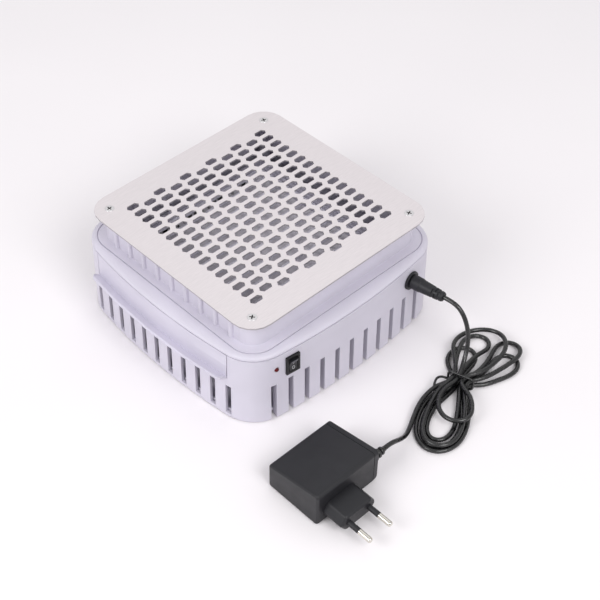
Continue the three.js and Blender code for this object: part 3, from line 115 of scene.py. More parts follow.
# The loops between the passes, a lower and an upper one by turns
HANK_LOOPS = [
    [
        (155.3, 28, 8.3), (157.6, 18.9, 8), (163.5, 11.4, 7.1), (172.1, 8.2, 6.9), (180.3, 11, 7.4),
        (184, 18.3, 8), (180.3, 26.3, 8.1), (171.7, 33.9, 8.2),
    ],
    [
        (162.4, 54.6, 8.2), (163.3, 67.1, 8.1), (161.6, 79.7, 7.3), (156.6, 90.3, 6), (148.4, 96, 5.3),
        (139.2, 94.9, 4.2), (131.8, 89.1, 3.3), (127.9, 80.1, 3.5), (128.2, 70.1, 4.6), (133, 60.9, 7.1),
        (141.3, 53.1, 8.2),
    ],
    [
        (151.9, 28, 7.1), (155.4, 14.5, 5.1), (160.2, 3.2, 4.8), (166.1, -7, 4.8), (173.8, -13.6, 4.8),
        (182.9, -12.8, 4.8), (188.3, -5.4, 4.8), (187.5, 4.7, 4.8), (182.3, 15.1, 4.8), (173.8, 27, 4.8),
    ],
    [
        (165.4, 54.6, 4.9), (167.9, 66.6, 4.9), (169.1, 78.6, 4.8), (168.9, 89.3, 4.6), (163.5, 97.6, 2.8),
        (154.3, 97.4, 1.7), (150.3, 89.3, 1.7), (153.4, 79.7, 2.6), (157.4, 68.2, 4.2), (159.3, 55.6, 4.9),
    ],
    [
        (166.3, 29.4, 4.6), (171.5, 22.4, 2.6), (177.5, 13.6, 1.7), (181.6, 4.5, 1.7), (181.6, -3.9, 1.7),
        (176.3, -8.9, 1.7), (170, -6.8, 1.7), (165, -0.9, 1.7), (160.9, 7.3, 1.7), (158.2, 17.7, 1.7),
        (157.6, 28, 1.7),
    ],
    [
        (152.4, 52.5, 1.7), (151.1, 61.5, 1.7), (147.6, 69.6, 1.7), (139.6, 72.4, 1.7), (133.4, 67.2, 1.7),
        (132.4, 59, 1.7), (136.1, 51.7, 1.7), (143, 46.9, 1.7),
    ],
    [
        (150.7, 28, 1.7), (150.8, 16.2, 1.7), (154.3, 4.3, 1.7), (160.8, -7.1, 1.7), (169.4, -15.2, 1.7),
        (179.1, -17.3, 1.7), (186.7, -12.8, 1.7), (190.3, -3.3, 1.7), (189.2, 7.1, 1.7), (184.4, 17.2, 1.7),
        (177.5, 27.2, 1.7), (170.4, 34.1, 1.7),
    ],
    [
        (167.4, 51.4, 1.7), (171.2, 60.9, 1.7), (174.3, 70.5, 1.7), (175, 80.3, 1.7), (169.6, 87.6, 1.7),
        (160.6, 86.3, 1.7), (157.9, 77.4, 1.7), (160.1, 67.5, 1.7), (160.8, 55.6, 1.7),
    ],
    [
        (165.9, 31.9, 1.7), (173.6, 24.4, 1.7), (181.2, 15.4, 1.7), (185.6, 5.8, 1.7), (186.8, -2.8, 1.7),
        (183.8, -10.4, 1.7), (178, -13.8, 1.7), (170.6, -11.7, 1.7), (163.9, -4.8, 1.7), (157.9, 5.6, 1.7),
        (154.6, 16.8, 1.7), (154, 27.6, 2.6),
    ],
    [
        (150.3, 53.5, 4.8), (148.8, 62.9, 4.8), (148.6, 72.4, 4.4), (148.6, 81, 2.1), (143, 88.2, 1.7),
        (134.6, 86, 1.7), (131.6, 77.6, 3), (134.2, 68.6, 4.9), (138.6, 59.4, 4.9), (144.3, 51, 4.9),
    ],
]
POINTS_PER_STRETCH = 10


def through(points, per_stretch):
    """Points along a centripetal curve through the given points."""
    chain = [2 * points[0] - points[1], *points, 2 * points[-1] - points[-2]]
    line = []
    for p0, p1, p2, p3 in zip(chain, chain[1:], chain[2:], chain[3:]):
        d0, d1, d2 = (math.sqrt((b - a).length) for a, b in ((p0, p1), (p1, p2), (p2, p3)))
        leave = ((p1 - p0) / d0 - (p2 - p0) / (d0 + d1) + (p2 - p1) / d1) * d1
        reach = ((p2 - p1) / d1 - (p3 - p1) / (d1 + d2) + (p3 - p2) / d2) * d1
        for i in range(per_stretch):
            t = i / per_stretch
            near = (2 * t ** 3 - 3 * t ** 2 + 1) * p1 + (t ** 3 - 2 * t ** 2 + t) * leave
            far = (3 * t ** 2 - 2 * t ** 3) * p2 + (t ** 3 - t ** 2) * reach
            line.append(near + far)
    return line + [points[-1]]


def evened(line, step):
    """The same line with its points about one step apart."""
    marks = [0.0]
    for a, b in zip(line, line[1:]):
        marks.append(marks[-1] + (b - a).length)
    count = round(marks[-1] / step)
    places, k = [], 0
    for i in range(count):
        mark = marks[-1] * i / count
        while marks[k + 1] < mark:
            k += 1
        share = (mark - marks[k]) / (marks[k + 1] - marks[k])
        places.append(line[k].lerp(line[k + 1], share))
    return places + [line[-1]]


def eased(line, rounds):
    """The same line with its bends made rounder; three points at each end stay."""
    for _ in range(rounds):
        middles = [(a + c) / 4 + b / 2 for a, b, c in zip(line, line[1:], line[2:])]
        line = line[:3] + middles[2:-2] + line[-3:]
    return line


def tie_pass(side, height, heading):
    """The two ends of one of the cord's passes through the tie."""
    angle = math.radians(TIE_HEADING)
    along = Vector((math.cos(angle), math.sin(angle), 0)) * heading * TIE_REACH
    across = Vector((math.sin(angle), -math.cos(angle), 0)) * side
    middle = Vector((*TIE_MIDDLE, height)) + across
    return [middle - along, middle + along]


def cord_line():
    """The cord's whole route, from the plug's grip to the adapter's relief."""
    start, end = Vector(GRIP_END), Vector(RELIEF_MOUTH)
    points = [start, start + GRIP_ALONG * CORD_STRAIGHT / 2, start + GRIP_ALONG * CORD_STRAIGHT]
    points += map(Vector, UPPER_ROUTE)
    for tie, loop in zip(TIE_PASSES, HANK_LOOPS + [LOWER_ROUTE]):
        points += [*tie_pass(*tie), *map(Vector, loop)]
    points += [end + Vector((0, CORD_STRAIGHT, 0)), end]
    return eased(evened(through(points, POINTS_PER_STRETCH), CORD_STEP), CORD_EASING)


def curve_piece(name, line, radius, material, resolution=CORD_RESOLUTION):
    """A round bar along a line, as a curve."""
    data = bpy.data.curves.new(name, "CURVE")
    data.dimensions = "3D"
    data.bevel_depth = radius * MM
    data.bevel_resolution = resolution
    data.use_fill_caps = True
    spline = data.splines.new("POLY")
    spline.points.add(len(line) - 1)
    for point, place in zip(spline.points, line):
        point.co = (*at(place), 1)
    data.materials.append(MATERIALS[material])
    return placed(name, data)


# Materials

# How far apart a wave texture's bands are at a scale of one
WAVE_SPACING = 0.314

# The finishes by their plain names, which Blender numbers when the frame has a material of that name
MATERIALS = {}


def srgb(red, green, blue):
    """A display colour, from 0 to 255, as linear light by the standard curve."""
    def linear(value):
        value /= 255
        return value / 12.92 if value <= 0.04045 else ((value + 0.055) / 1.055) ** 2.4

    return (linear(red), linear(green), linear(blue), 1)


def shaded(colour, share):
    return (*(value * share for value in colour[:3]), 1)


class Finish:
    """A material and its nodes: a Principled shader that reads the row frame's coordinates."""

    def __init__(self, name, colour, roughness, metallic=0.0, **constants):
        material = MATERIALS[name] = bpy.data.materials.new(name)
        material.use_nodes = True
        self.tree = material.node_tree
        self.shader = self.tree.nodes["Principled BSDF"]
        self.shader.inputs["Base Color"].default_value = colour
        self.shader.inputs["Roughness"].default_value = roughness
        self.shader.inputs["Metallic"].default_value = metallic
        for key, value in constants.items():
            self.shader.inputs[key.replace("_", " ")].default_value = value
        self.coordinates = self.tree.nodes.new("ShaderNodeTexCoord").outputs["Object"]
        self.height = None

    def link(self, source, target):
        self.tree.links.new(source, target)

    def stretched(self, scales):
        mapping = self.tree.nodes.new("ShaderNodeMapping")
        mapping.inputs["Scale"].default_value = scales
        self.link(self.coordinates, mapping.inputs["Vector"])
        return mapping.outputs["Vector"]

    def noise(self, feature, detail=3, vector=None):
        """Noise whose features are about that many millimetres across."""
        node = self.tree.nodes.new("ShaderNodeTexNoise")
        node.inputs["Scale"].default_value = 1 / (feature * MM)
        node.inputs["Detail"].default_value = detail
        self.link(vector or self.coordinates, node.inputs["Vector"])
        return node.outputs["Fac"]

    def cells(self, feature, kind="F1"):
        node = self.tree.nodes.new("ShaderNodeTexVoronoi")
        node.feature = kind
        node.inputs["Scale"].default_value = 1 / (feature * MM)
        self.link(self.coordinates, node.inputs["Vector"])
        return node.outputs["Distance"]

    def waves(self, feature, direction, distortion):
        node = self.tree.nodes.new("ShaderNodeTexWave")
        node.bands_direction = direction
        node.inputs["Scale"].default_value = WAVE_SPACING / (feature * MM)
        node.inputs["Distortion"].default_value = distortion
        self.link(self.coordinates, node.inputs["Vector"])
        return node.outputs["Fac"]

    def between(self, factor, low, high, start=0.3, stop=0.7):
        """The factor, from start to stop, as a number from low to high."""
        node = self.tree.nodes.new("ShaderNodeMapRange")
        for name, value in (("From Min", start), ("From Max", stop), ("To Min", low), ("To Max", high)):
            node.inputs[name].default_value = value
        self.link(factor, node.inputs["Value"])
        return node.outputs["Result"]

    def colours(self, factor, low, high, start=0.3, stop=0.7):
        ramp = self.tree.nodes.new("ShaderNodeValToRGB")
        ramp.color_ramp.elements[0].position = start
        ramp.color_ramp.elements[1].position = stop
        ramp.color_ramp.elements[0].color = low
        ramp.color_ramp.elements[1].color = high
        self.link(factor, ramp.inputs["Fac"])
        self.link(ramp.outputs["Color"], self.shader.inputs["Base Color"])

    def roughness(self, factor, middle, less, more):
        self.link(self.between(factor, middle - less, middle + more), self.shader.inputs["Roughness"])

    def bump(self, factor, depth):
        """Adds a relief of that depth in millimetres."""
        node = self.tree.nodes.new("ShaderNodeBump")
        node.inputs["Distance"].default_value = depth * MM
        self.link(factor, node.inputs["Height"])
        if self.height is not None:
            self.link(self.height, node.inputs["Normal"])
        self.height = node.outputs["Normal"]
        self.link(self.height, self.shader.inputs["Normal"])


def moulded(name, colour, roughness, grain=0.35, depth=0.012):
    """Moulded plastic: a fine eroded grain, with faint flow marks in its colour and gloss."""
    finish = Finish(name, colour, roughness, Specular_IOR_Level=0.4)
    finish.colours(finish.noise(feature=38, detail=2), shaded(colour, 0.96), shaded(colour, 1.03))
    finish.roughness(finish.noise(feature=9, detail=4), roughness, less=0.05, more=0.06)
    finish.bump(finish.noise(grain, detail=2), depth)
    finish.bump(finish.noise(feature=6, detail=2), depth / 2)


def brushed(name, colour, roughness, metallic=1.0, scales=(1, 1, 0.1), feature=0.3, depth=0.004):
    """Rolled or brushed metal: long scratches along one direction."""
    finish = Finish(name, colour, roughness, metallic)
    scratch = finish.noise(feature, detail=5, vector=finish.stretched(scales))
    finish.colours(scratch, shaded(colour, 0.93), shaded(colour, 1.04))
    finish.roughness(scratch, roughness, less=0.08, more=0.1)
    finish.bump(scratch, depth)


def rubbery(name, colour, roughness, depth=0.02, gloss=0.45):
    """Soft rubber or PVC: a dull skin with faint bloom and small dents."""
    finish = Finish(name, colour, roughness, Specular_IOR_Level=gloss)
    finish.colours(finish.noise(feature=4, detail=4), shaded(colour, 0.8), shaded(colour, 1.35))
    finish.roughness(finish.noise(feature=2.5), roughness, less=0.08, more=0.1)
    finish.bump(finish.noise(feature=0.5), depth)


def felted(name, colour):
    """Non-woven filter cloth: matted fibres with a soft sheen."""
    finish = Finish(name, colour, roughness=0.95, Sheen_Weight=0.4, Sheen_Roughness=0.5)
    fibres = finish.noise(feature=0.35, detail=6, vector=finish.stretched((1, 0.25, 1)))
    finish.colours(fibres, shaded(colour, 0.78), colour)
    finish.bump(fibres, depth=0.12)
    finish.bump(finish.cells(feature=1.4), depth=0.1)


def wound(name, colour):
    """Enamelled wire in close turns."""
    finish = Finish(name, colour, roughness=0.32, metallic=0.85, Coat_Weight=0.5)
    turns = finish.waves(feature=0.45, direction="Z", distortion=0.4)
    finish.colours(turns, shaded(colour, 0.35), shaded(colour, 1.1), start=0.1, stop=0.6)
    finish.bump(turns, depth=0.15)


def circuit_board(name, colour):
    """Solder mask over copper tracks."""
    finish = Finish(name, colour, roughness=0.35, Coat_Weight=0.3)
    tracks = finish.cells(feature=3.2, kind="DISTANCE_TO_EDGE")
    finish.colours(tracks, shaded(colour, 1.7), colour, start=0.04, stop=0.09)
    finish.bump(tracks, depth=0.03)


def tinted_lens(name, colour):
    """A small lamp's tinted epoxy lens."""
    finish = Finish(name, colour, roughness=0.3, IOR=1.5, Specular_IOR_Level=0.3)
    finish.colours(finish.noise(feature=1.2, detail=2), shaded(colour, 0.7), shaded(colour, 1.5))
    finish.bump(finish.noise(feature=0.8, detail=2), depth=0.01)


def painted(name, colour):
    """Printing ink on the rocker, slightly uneven; the same finish gives the rocker's ribs their grey, a
    painted highlight.
    """
    finish = Finish(name, colour, roughness=0.5)
    finish.colours(finish.noise(feature=0.6), shaded(colour, 0.85), shaded(colour, 1.1))
    finish.bump(finish.noise(feature=0.2, detail=2), depth=0.01)


moulded("lavender_plastic", srgb(207, 203, 216), roughness=0.42)
moulded("drawer_plastic", srgb(207, 203, 217), roughness=0.4)
moulded("filter_plastic", srgb(238, 235, 247), roughness=0.5)
moulded("dark_plastic", srgb(8, 8, 11), roughness=0.45)
moulded("black_plastic", srgb(34, 34, 38), roughness=0.46, grain=0.4, depth=0.02)
brushed(
    "perforated_steel", srgb(224, 217, 220), roughness=0.4, metallic=0.35, scales=(1, 0.05, 1),
    feature=0.4, depth=0.002,
)
# Darker steel for the plate's upright faces, its edges and slot walls: painted shade.
brushed("edge_painted_shade", srgb(172, 167, 172), roughness=0.45, metallic=0.3, depth=0.01)
brushed("screw_steel", srgb(214, 212, 214), roughness=0.34, metallic=0.6)
# Near-black steel for the screws' cross recesses: painted shade.
brushed("recess_painted_shade", srgb(52, 50, 50), roughness=0.6, metallic=0.4, depth=0.01)
brushed("motor_steel", srgb(150, 152, 158), roughness=0.35, scales=(1, 1, 0.04), feature=0.5)
brushed("nickel", srgb(222, 218, 210), roughness=0.18, scales=(0.05, 1, 1), feature=0.25)
rubbery("foot_rubber", srgb(214, 211, 218), roughness=0.75)
rubbery("black_rubber", srgb(13, 13, 15), roughness=0.27, depth=0.004, gloss=0.8)
felted("filter_cloth", srgb(252, 248, 255))
wound("copper", srgb(168, 96, 54))
circuit_board("board_green", srgb(46, 92, 60))
tinted_lens("red_lens", srgb(84, 4, 8))
painted("mark_paint", srgb(206, 206, 210))
# Grey on the rocker's black ribs: painted highlight.
painted("rib_painted_highlight", srgb(92, 92, 98))

BODY_OF = {node: body for body, nodes in frame["record"]["behaviour"]["bodies"].items() for node in nodes}
SLOT_OF = {entry["node"]: entry["material_slot"] for entry in frame["record"]["subparts"]}


def finish_piece(piece, *nodes):
    """The piece rides on the body of the CAD nodes it stands for, and takes their place: they are hidden.
    """
    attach(piece, BODY_OF[nodes[0]])
    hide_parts(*nodes)
    return piece


# Meshes

FLAT_ANGLE = math.radians(0.4)
SHARP_ANGLE = math.radians(28)
CRISP_ANGLE = math.radians(32)
SMOOTH_ANGLE = math.radians(38)
COPY_ANGLE = math.radians(40)
SOFT_ANGLE = math.radians(50)
MERGE_DISTANCE = 0.002
BEVEL_SEGMENTS = 2
TURN_STEPS = 48
FEWER_TURN_STEPS = 32
ARC_STEPS = 5


def add_mesh(name, corners, faces, material):
    """A piece whose corners are in millimetres about the fan's axis."""
    mesh = bpy.data.meshes.new(name)
    mesh.from_pydata([at(corner) for corner in corners], [], faces)
    mesh.materials.append(MATERIALS[material])
    form = bmesh.new()
    form.from_mesh(mesh)
    bmesh.ops.remove_doubles(form, verts=form.verts, dist=MERGE_DISTANCE * MM)
    bmesh.ops.recalc_face_normals(form, faces=form.faces)
    form.to_mesh(mesh)
    form.free()
    return placed(name, mesh)


def add_form(name, form, *materials):
    """A piece with the shape that was drawn in the form, which is freed."""
    mesh = bpy.data.meshes.new(name)
    form.to_mesh(mesh)
    form.free()
    for material in materials:
        mesh.materials.append(MATERIALS[material])
    return placed(name, mesh)


def smooth_form(form, angle):
    """Makes faces smooth, but for edges sharper than the angle."""
    for face in form.faces:
        face.smooth = True
    for edge in form.edges:
        edge.smooth = not edge.is_manifold or edge.calc_face_angle() < angle


def weigh_normals(piece):
    piece.modifiers.new("normals", "WEIGHTED_NORMAL").keep_sharp = True
    return piece


def shade(piece, angle=SMOOTH_ANGLE):
    """Smooth shading that breaks at edges sharper than the angle."""
    form = bmesh.new()
    form.from_mesh(piece.data)
    smooth_form(form, angle)
    form.to_mesh(piece.data)
    form.free()
    return weigh_normals(piece)


def apply_modifiers(piece):
    graph = bpy.context.evaluated_depsgraph_get()
    made = bpy.data.meshes.new_from_object(piece.evaluated_get(graph))
    piece.modifiers.clear()
    piece.data = made
    return piece


def bevelled(piece, width, angle):
    bevel = piece.modifiers.new("edges", "BEVEL")
    bevel.width = width * MM
    bevel.segments = BEVEL_SEGMENTS
    bevel.limit_method = "ANGLE"
    bevel.angle_limit = angle
    bevel.use_clamp_overlap = True
    return apply_modifiers(piece)


def rings_to_faces(count, levels, closed):
    faces = []
    for level in range(levels if closed else levels - 1):
        above = (level + 1) % levels
        for i in range(count):
            j = (i + 1) % count
            faces.append((level * count + i, level * count + j, above * count + j, above * count + i))
    return faces


def add_turned(corners, faces, profile, place, steps):
    """Adds a closed profile of (radius, height) pairs, turned about the place's own Z."""
    first, count = len(corners), len(profile)
    for i in range(steps):
        angle = 2 * math.pi * i / steps
        for radius, height in profile:
            corners.append(place @ Vector((radius * math.cos(angle), radius * math.sin(angle), height)))
    for i in range(steps):
        a, b = first + i * count, first + (i + 1) % steps * count
        for k in range(count):
            m = (k + 1) % count
            if profile[k][0] or profile[m][0]:
                faces.append((a + k, b + k, b + m, a + m))


def turned(name, profile, material, place, steps=TURN_STEPS):
    corners, faces = [], []
    add_turned(corners, faces, profile, place, steps)
    return shade(add_mesh(name, corners, faces, material))


def lofted(name, rings, material, angle=SMOOTH_ANGLE):
    """A closed piece through rings of equally many points."""
    count = len(rings[0])
    faces = rings_to_faces(count, len(rings), False)
    faces += [tuple(range(count)), tuple(range((len(rings) - 1) * count, len(rings) * count))]
    return shade(add_mesh(name, [point for ring in rings for point in ring], faces, material), angle)


def rounded_outline(points, radius, inset, steps):
    """A convex outline, drawn anticlockwise, with round corners and pulled in by the inset."""
    outline = []
    count = len(points)
    for i in range(count):
        before, here, after = (Vector(points[(i + k) % count]) for k in (-1, 0, 1))
        out = [Vector((edge.y, -edge.x)).normalized() for edge in (here - before, after - here)]
        centre = here - (out[0] + out[1]) * radius / (1 + out[0].dot(out[1]))
        first = math.atan2(out[0].y, out[0].x)
        sweep = (math.atan2(out[1].y, out[1].x) - first) % (2 * math.pi)
        for k in range(steps + 1):
            angle = first + sweep * k / steps
            outline.append(centre + Vector((math.cos(angle), math.sin(angle))) * (radius - inset))
    return outline


def end_rounding(radius, steps=ARC_STEPS):
    """Pairs of inset and advance that round off a piece's end."""
    angles = [math.pi / 2 * i / steps for i in range(steps + 1)]
    return [(radius * (1 - math.sin(angle)), radius * (1 - math.cos(angle))) for angle in angles]


def rectangle(half_width, half_height):
    return [
        (-half_width, -half_height), (half_width, -half_height),
        (half_width, half_height), (-half_width, half_height),
    ]


# Plans of the housing, as in the source: bowed sides and round corners

HOUSING_HALF = 95.8
HOUSING_BOW = 9.4
HOUSING_CORNER = 27
HOUSING_FLARE = 1.2
HOUSING_WALL = 2.4
WALL_FOOT = 1.2
PARTING = 58.6
SEAT_GAP = 0.3
CORNER_STEPS = 14
DECK_HALF = 86.4
DECK_CORNER = 19.3
RISER_HALF = 79
RISER_CORNER = 12


class Plan:
    """A square with round corners, whose sides may bow."""

    def __init__(self, half, corner, bow=0.0):
        self.half, self.corner, self.bow = half, corner, bow
        if bow:
            self.side_radius = (half ** 2 + bow ** 2) / (2 * bow)
            self.back = self.side_radius - half
            reach = self.side_radius - corner
            self.centre = (math.sqrt(2 * reach ** 2 - self.back ** 2) - self.back) / 2
            self.swing = math.atan2(self.centre, self.centre + self.back)
        else:
            self.centre, self.swing = half - corner, 0.0

    def side_end(self):
        return self.side_radius * math.sin(self.swing) if self.bow else self.centre

    def side_point(self, inset, along):
        """The place on the +X side at a distance along it, and how far out that is."""
        if not self.bow:
            return Vector((self.half - inset, along, 0))
        angle = math.asin(along / self.side_radius)
        radius = self.side_radius - inset
        return Vector((radius * math.cos(angle) - self.back, radius * math.sin(angle), 0))

    def reach(self):
        """How far along a side its half of each corner arc goes."""
        return self.centre + self.corner * math.sqrt(0.5)

    def wall_point(self, inset, along):
        """The place on the +X side, or on its half of a corner arc, at a distance along it."""
        if abs(along) <= self.side_end():
            return self.side_point(inset, along)
        angle = math.asin((abs(along) - self.centre) / self.corner)
        radius = self.corner - inset
        across = self.centre + radius * math.sin(angle)
        return Vector((self.centre + radius * math.cos(angle), math.copysign(across, along), 0))

    def corner_point(self, inset, share):
        angle = self.swing + (math.pi / 2 - 2 * self.swing) * share
        radius = self.corner - inset
        return Vector((self.centre + radius * math.cos(angle), self.centre + radius * math.sin(angle), 0))

    def ring(self, inset, z, stations):
        """Points round the plan: each side has the given stations, as shares of its length."""
        points = []
        for side in range(4):
            quarter = [self.side_point(inset, share * self.side_end()) for share in stations]
            for i in range(1, CORNER_STEPS):
                quarter.append(self.corner_point(inset, i / CORNER_STEPS))
            turn = Matrix.Rotation(side * math.pi / 2, 3, "Z")
            for point in quarter:
                place = turn @ point
                points.append(Vector((place.x, place.y, z)))
        return points


HOUSING = Plan(HOUSING_HALF, HOUSING_CORNER, HOUSING_BOW)
DECK = Plan(DECK_HALF, DECK_CORNER)
RISER = Plan(RISER_HALF, RISER_CORNER)


def flare(z):
    """How far the housing's wall stands out at a height, past where it stands at the parting."""
    return HOUSING_FLARE * (PARTING - z) / (PARTING - WALL_FOOT)


def wall_frame(y, z):
    """A place on the outside of the +X wall: local X points out, local Z up."""
    radius = HOUSING.side_radius + flare(z)
    angle = math.asin(y / radius)
    slope = math.atan(HOUSING_FLARE / (PARTING - WALL_FOOT))
    place = Matrix.Translation((radius * math.cos(angle) - HOUSING.back, y, z))
    return place @ Matrix.Rotation(angle, 4, "Z") @ Matrix.Rotation(-slope, 4, "Y")


OUTWARD = Matrix.Rotation(math.pi / 2, 4, "Y")
SWITCH_SPOT = (-56.4, 46.2)
LAMP_SPOT = (-68.8, 47.1)
JACK_SPOT = (56.9, 46.2)
SWITCH_FRAME = wall_frame(*SWITCH_SPOT)
LAMP_FRAME = wall_frame(*LAMP_SPOT)
JACK_FRAME = wall_frame(*JACK_SPOT)


def even_spots(count, pitch, shift=0.0):
    return [(i - (count - 1) / 2) * pitch + shift for i in range(count)]


def merged_stations(edges, low, high, step):
    """Sorted stations from low to high that hold every edge, and none further apart than step."""
    marks = sorted({low, high, *(edge for edge in edges if low < edge < high)})
    stations = []
    for a, b in zip(marks, marks[1:]):
        count = max(1, math.ceil((b - a) / step))
        stations += [a + (b - a) * i / count for i in range(count)]
    return stations + [high]


# Housing: the vented wall as a grid with cells left out, given thickness

VENT_COUNT = 11
FRONT_VENT_PITCH = 13.7
FRONT_VENT_WIDTH = 4.6
FRONT_VENT_LOW = 3.5
FRONT_VENT_TOP = 30.2
SIDE_VENT_PITCH = 13.5
SIDE_VENT_WIDTH = 4.1
SIDE_VENT_SHIFT = -3.4
VENT_TOP = 33.2
DOOR_HALF = 67.9
SHELF_TOP = 37.2
POST_SPOT = 76.27
POST_RADIUS = 4.3
POST_BORE = 1.8
POST_FOOT = 5.7
POST_TOP = 34.5
POST_EDGE = 0.4
POST_OVERLAP = 0.5
POST_STEPS = 24
GUSSET_THICK = 1.6
GUSSET_LENGTH = 8.9
CHEEK_DEPTH = 5
CHEEK_REACH = 77.8
SWITCH_CUT = (9.4, 14)
JACK_CUT = 5.7
LAMP_CUT = 1.8
CUT_MARGIN = 0.8
CUT_SEARCH = 0.9
CUT_SEARCH_SHARE = 1.5
CUT_STEPS = 24
EDGE_ROUND = 0.45
GRID_STEP = 6.5
CORNER_GRID_STEP = 1.6


def spans(spots, width):
    return [(spot - width / 2, spot + width / 2) for spot in spots]


ROUND_CUTS = [(JACK_FRAME, JACK_CUT), (LAMP_FRAME, LAMP_CUT)]


def wall_openings(side):
    """Openings (low, high, foot, top) in a side's wall, round ones as squares; side 0 is +X, 3 is -Y."""
    if side in (1, 3):
        sign = 1 if side == 3 else -1
        vents = spans(even_spots(VENT_COUNT, FRONT_VENT_PITCH), FRONT_VENT_WIDTH)
        cells = [(*sorted((sign * a, sign * b)), FRONT_VENT_LOW, FRONT_VENT_TOP) for a, b in vents]
        if side == 3:
            cells.append((-DOOR_HALF, DOOR_HALF, SHELF_TOP, PARTING))
        return cells
    sign = 1 if side == 0 else -1
    vents = spans(even_spots(VENT_COUNT, SIDE_VENT_PITCH, SIDE_VENT_SHIFT), SIDE_VENT_WIDTH)
    cells = [(*sorted((sign * a, sign * b)), WALL_FOOT, VENT_TOP) for a, b in vents]
    if side == 0:
        spot, across, up = SWITCH_FRAME.translation, SWITCH_CUT[0] / 2, SWITCH_CUT[1] / 2
        cells.append((spot.y - across, spot.y + across, spot.z - up, spot.z + up))
        for place, radius in ROUND_CUTS:
            spot, reach = place.translation, radius + CUT_MARGIN
            cells.append((spot.y - reach, spot.y + reach, spot.z - reach, spot.z + reach))
    return cells


def wall_columns():
    """The wall's columns, as pairs of a side and a distance along it."""
    end, reach = HOUSING.side_end(), HOUSING.reach()
    parts = [(-reach, -end, CORNER_GRID_STEP), (-end, end, GRID_STEP), (end, reach, CORNER_GRID_STEP)]
    columns = []
    for side in range(4):
        edges = [edge for cell in wall_openings(side) for edge in cell[:2]]
        for low, high, step in parts:
            columns += [(side, along) for along in merged_stations(edges, low, high, step)[:-1]]
    return columns


def wall_place(column, z):
    side, along = column
    point = Matrix.Rotation(side * math.pi / 2, 3, "Z") @ HOUSING.wall_point(-flare(z), along)
    return at((point.x, point.y, z))


def is_open(column, following, low, high):
    """Whether the cell between two columns and two heights lies in an opening."""
    if column[0] != following[0]:
        return False
    along, height = (column[1] + following[1]) / 2, (low + high) / 2
    return any(a < along < b and foot < height < top for a, b, foot, top in wall_openings(column[0]))


def round_cut(form, weight, place, radius):
    """Turns a square opening of the wall into a round one."""
    spot, reach = at(place.translation), (radius + CUT_SEARCH) * CUT_SEARCH_SHARE * MM
    near = [
        edge for edge in form.edges
        if edge.is_boundary and all((end.co - spot).length < reach for end in edge.verts)
    ]
    circle = []
    for i in range(CUT_STEPS):
        angle = 2 * math.pi * i / CUT_STEPS
        rim = place @ Vector((0, radius * math.cos(angle), radius * math.sin(angle)))
        out = HOUSING.side_point(-flare(rim.z), rim.y)
        corner = form.verts.new(at((out.x, rim.y, rim.z)))
        corner[weight][0] = HOUSING_WALL / CHEEK_DEPTH
        circle.append(corner)
    loop = [form.edges.new((circle[i], circle[(i + 1) % CUT_STEPS])) for i in range(CUT_STEPS)]
    bmesh.ops.bridge_loops(form, edges=near + loop)


def face_outwards(form):
    bmesh.ops.recalc_face_normals(form, faces=form.faces)
    middle = at((0, 0, PARTING / 2))
    inward = sum((face.normal.dot(face.calc_center_median() - middle) < 0) for face in form.faces)
    if inward > len(form.faces) / 2:
        bmesh.ops.reverse_faces(form, faces=form.faces)


def wall_sheet():
    """The wall's outside, each corner weighted by how thick the wall is there."""
    columns = wall_columns()
    levels = sorted({z for side in range(4) for cell in wall_openings(side) for z in cell[2:]})
    form = bmesh.new()
    weight = form.verts.layers.deform.new()
    grid = [[form.verts.new(wall_place(column, z)) for z in levels] for column in columns]
    for column, rise in zip(columns, grid):
        for z, corner in zip(levels, rise):
            thick = column[0] in (0, 2) and z <= VENT_TOP and abs(column[1]) < CHEEK_REACH
            corner[weight][0] = 1.0 if thick else HOUSING_WALL / CHEEK_DEPTH
    for i in range(len(columns)):
        j = (i + 1) % len(columns)
        for k in range(len(levels) - 1):
            if not is_open(columns[i], columns[j], levels[k], levels[k + 1]):
                form.faces.new((grid[i][k], grid[j][k], grid[j][k + 1], grid[i][k + 1]))
    for place, radius in ROUND_CUTS:
        round_cut(form, weight, place, radius)
    bmesh.ops.delete(form, geom=[corner for corner in form.verts if not corner.link_faces], context="VERTS")
    face_outwards(form)
    return form


def housing_wall():
    """The wall round all four sides, thickened inwards, with rounded edges."""
    piece = add_form("housing_shell", wall_sheet(), "lavender_plastic")
    piece.vertex_groups.new(name="thick")
    solid = piece.modifiers.new("wall", "SOLIDIFY")
    solid.thickness = CHEEK_DEPTH * MM
    solid.offset = -1
    solid.vertex_group = "thick"
    solid.use_even_offset = True
    apply_modifiers(piece)
    bevelled(piece, EDGE_ROUND, SOFT_ANGLE)
    return finish_piece(shade(piece), "base_housing")


def housing_posts():
    """The screw posts in the corners, each with a rib to the wall."""
    profile = [
        (POST_BORE, POST_FOOT), (POST_RADIUS, POST_FOOT), (POST_RADIUS, POST_TOP - POST_EDGE),
        (POST_RADIUS - POST_EDGE, POST_TOP), (POST_BORE, POST_TOP),
    ]
    middle = POST_SPOT * math.sqrt(2)
    corners, faces = [], []
    for turn in range(4):
        spin = Matrix.Rotation(math.pi / 4 + turn * math.pi / 2, 4, "Z")
        place = Matrix.Translation(spin @ Vector((middle, 0, 0)))
        add_turned(corners, faces, profile, place, POST_STEPS)
        first = len(corners)
        for x in (middle + POST_RADIUS - POST_OVERLAP, middle + GUSSET_LENGTH):
            for y in (-GUSSET_THICK / 2, GUSSET_THICK / 2):
                for z in (POST_FOOT, POST_TOP):
                    corners.append(spin @ Vector((x, y, z)))
        for face in ((0, 1, 3, 2), (4, 6, 7, 5), (0, 4, 5, 1), (2, 3, 7, 6), (0, 2, 6, 4), (1, 5, 7, 3)):
            faces.append(tuple(first + i for i in face))
    piece = shade(add_mesh("housing_posts", corners, faces, "lavender_plastic"))
    return finish_piece(piece, "base_housing")


# Top cover: rounded band, deck with a seam round it, and the riser with its ribs

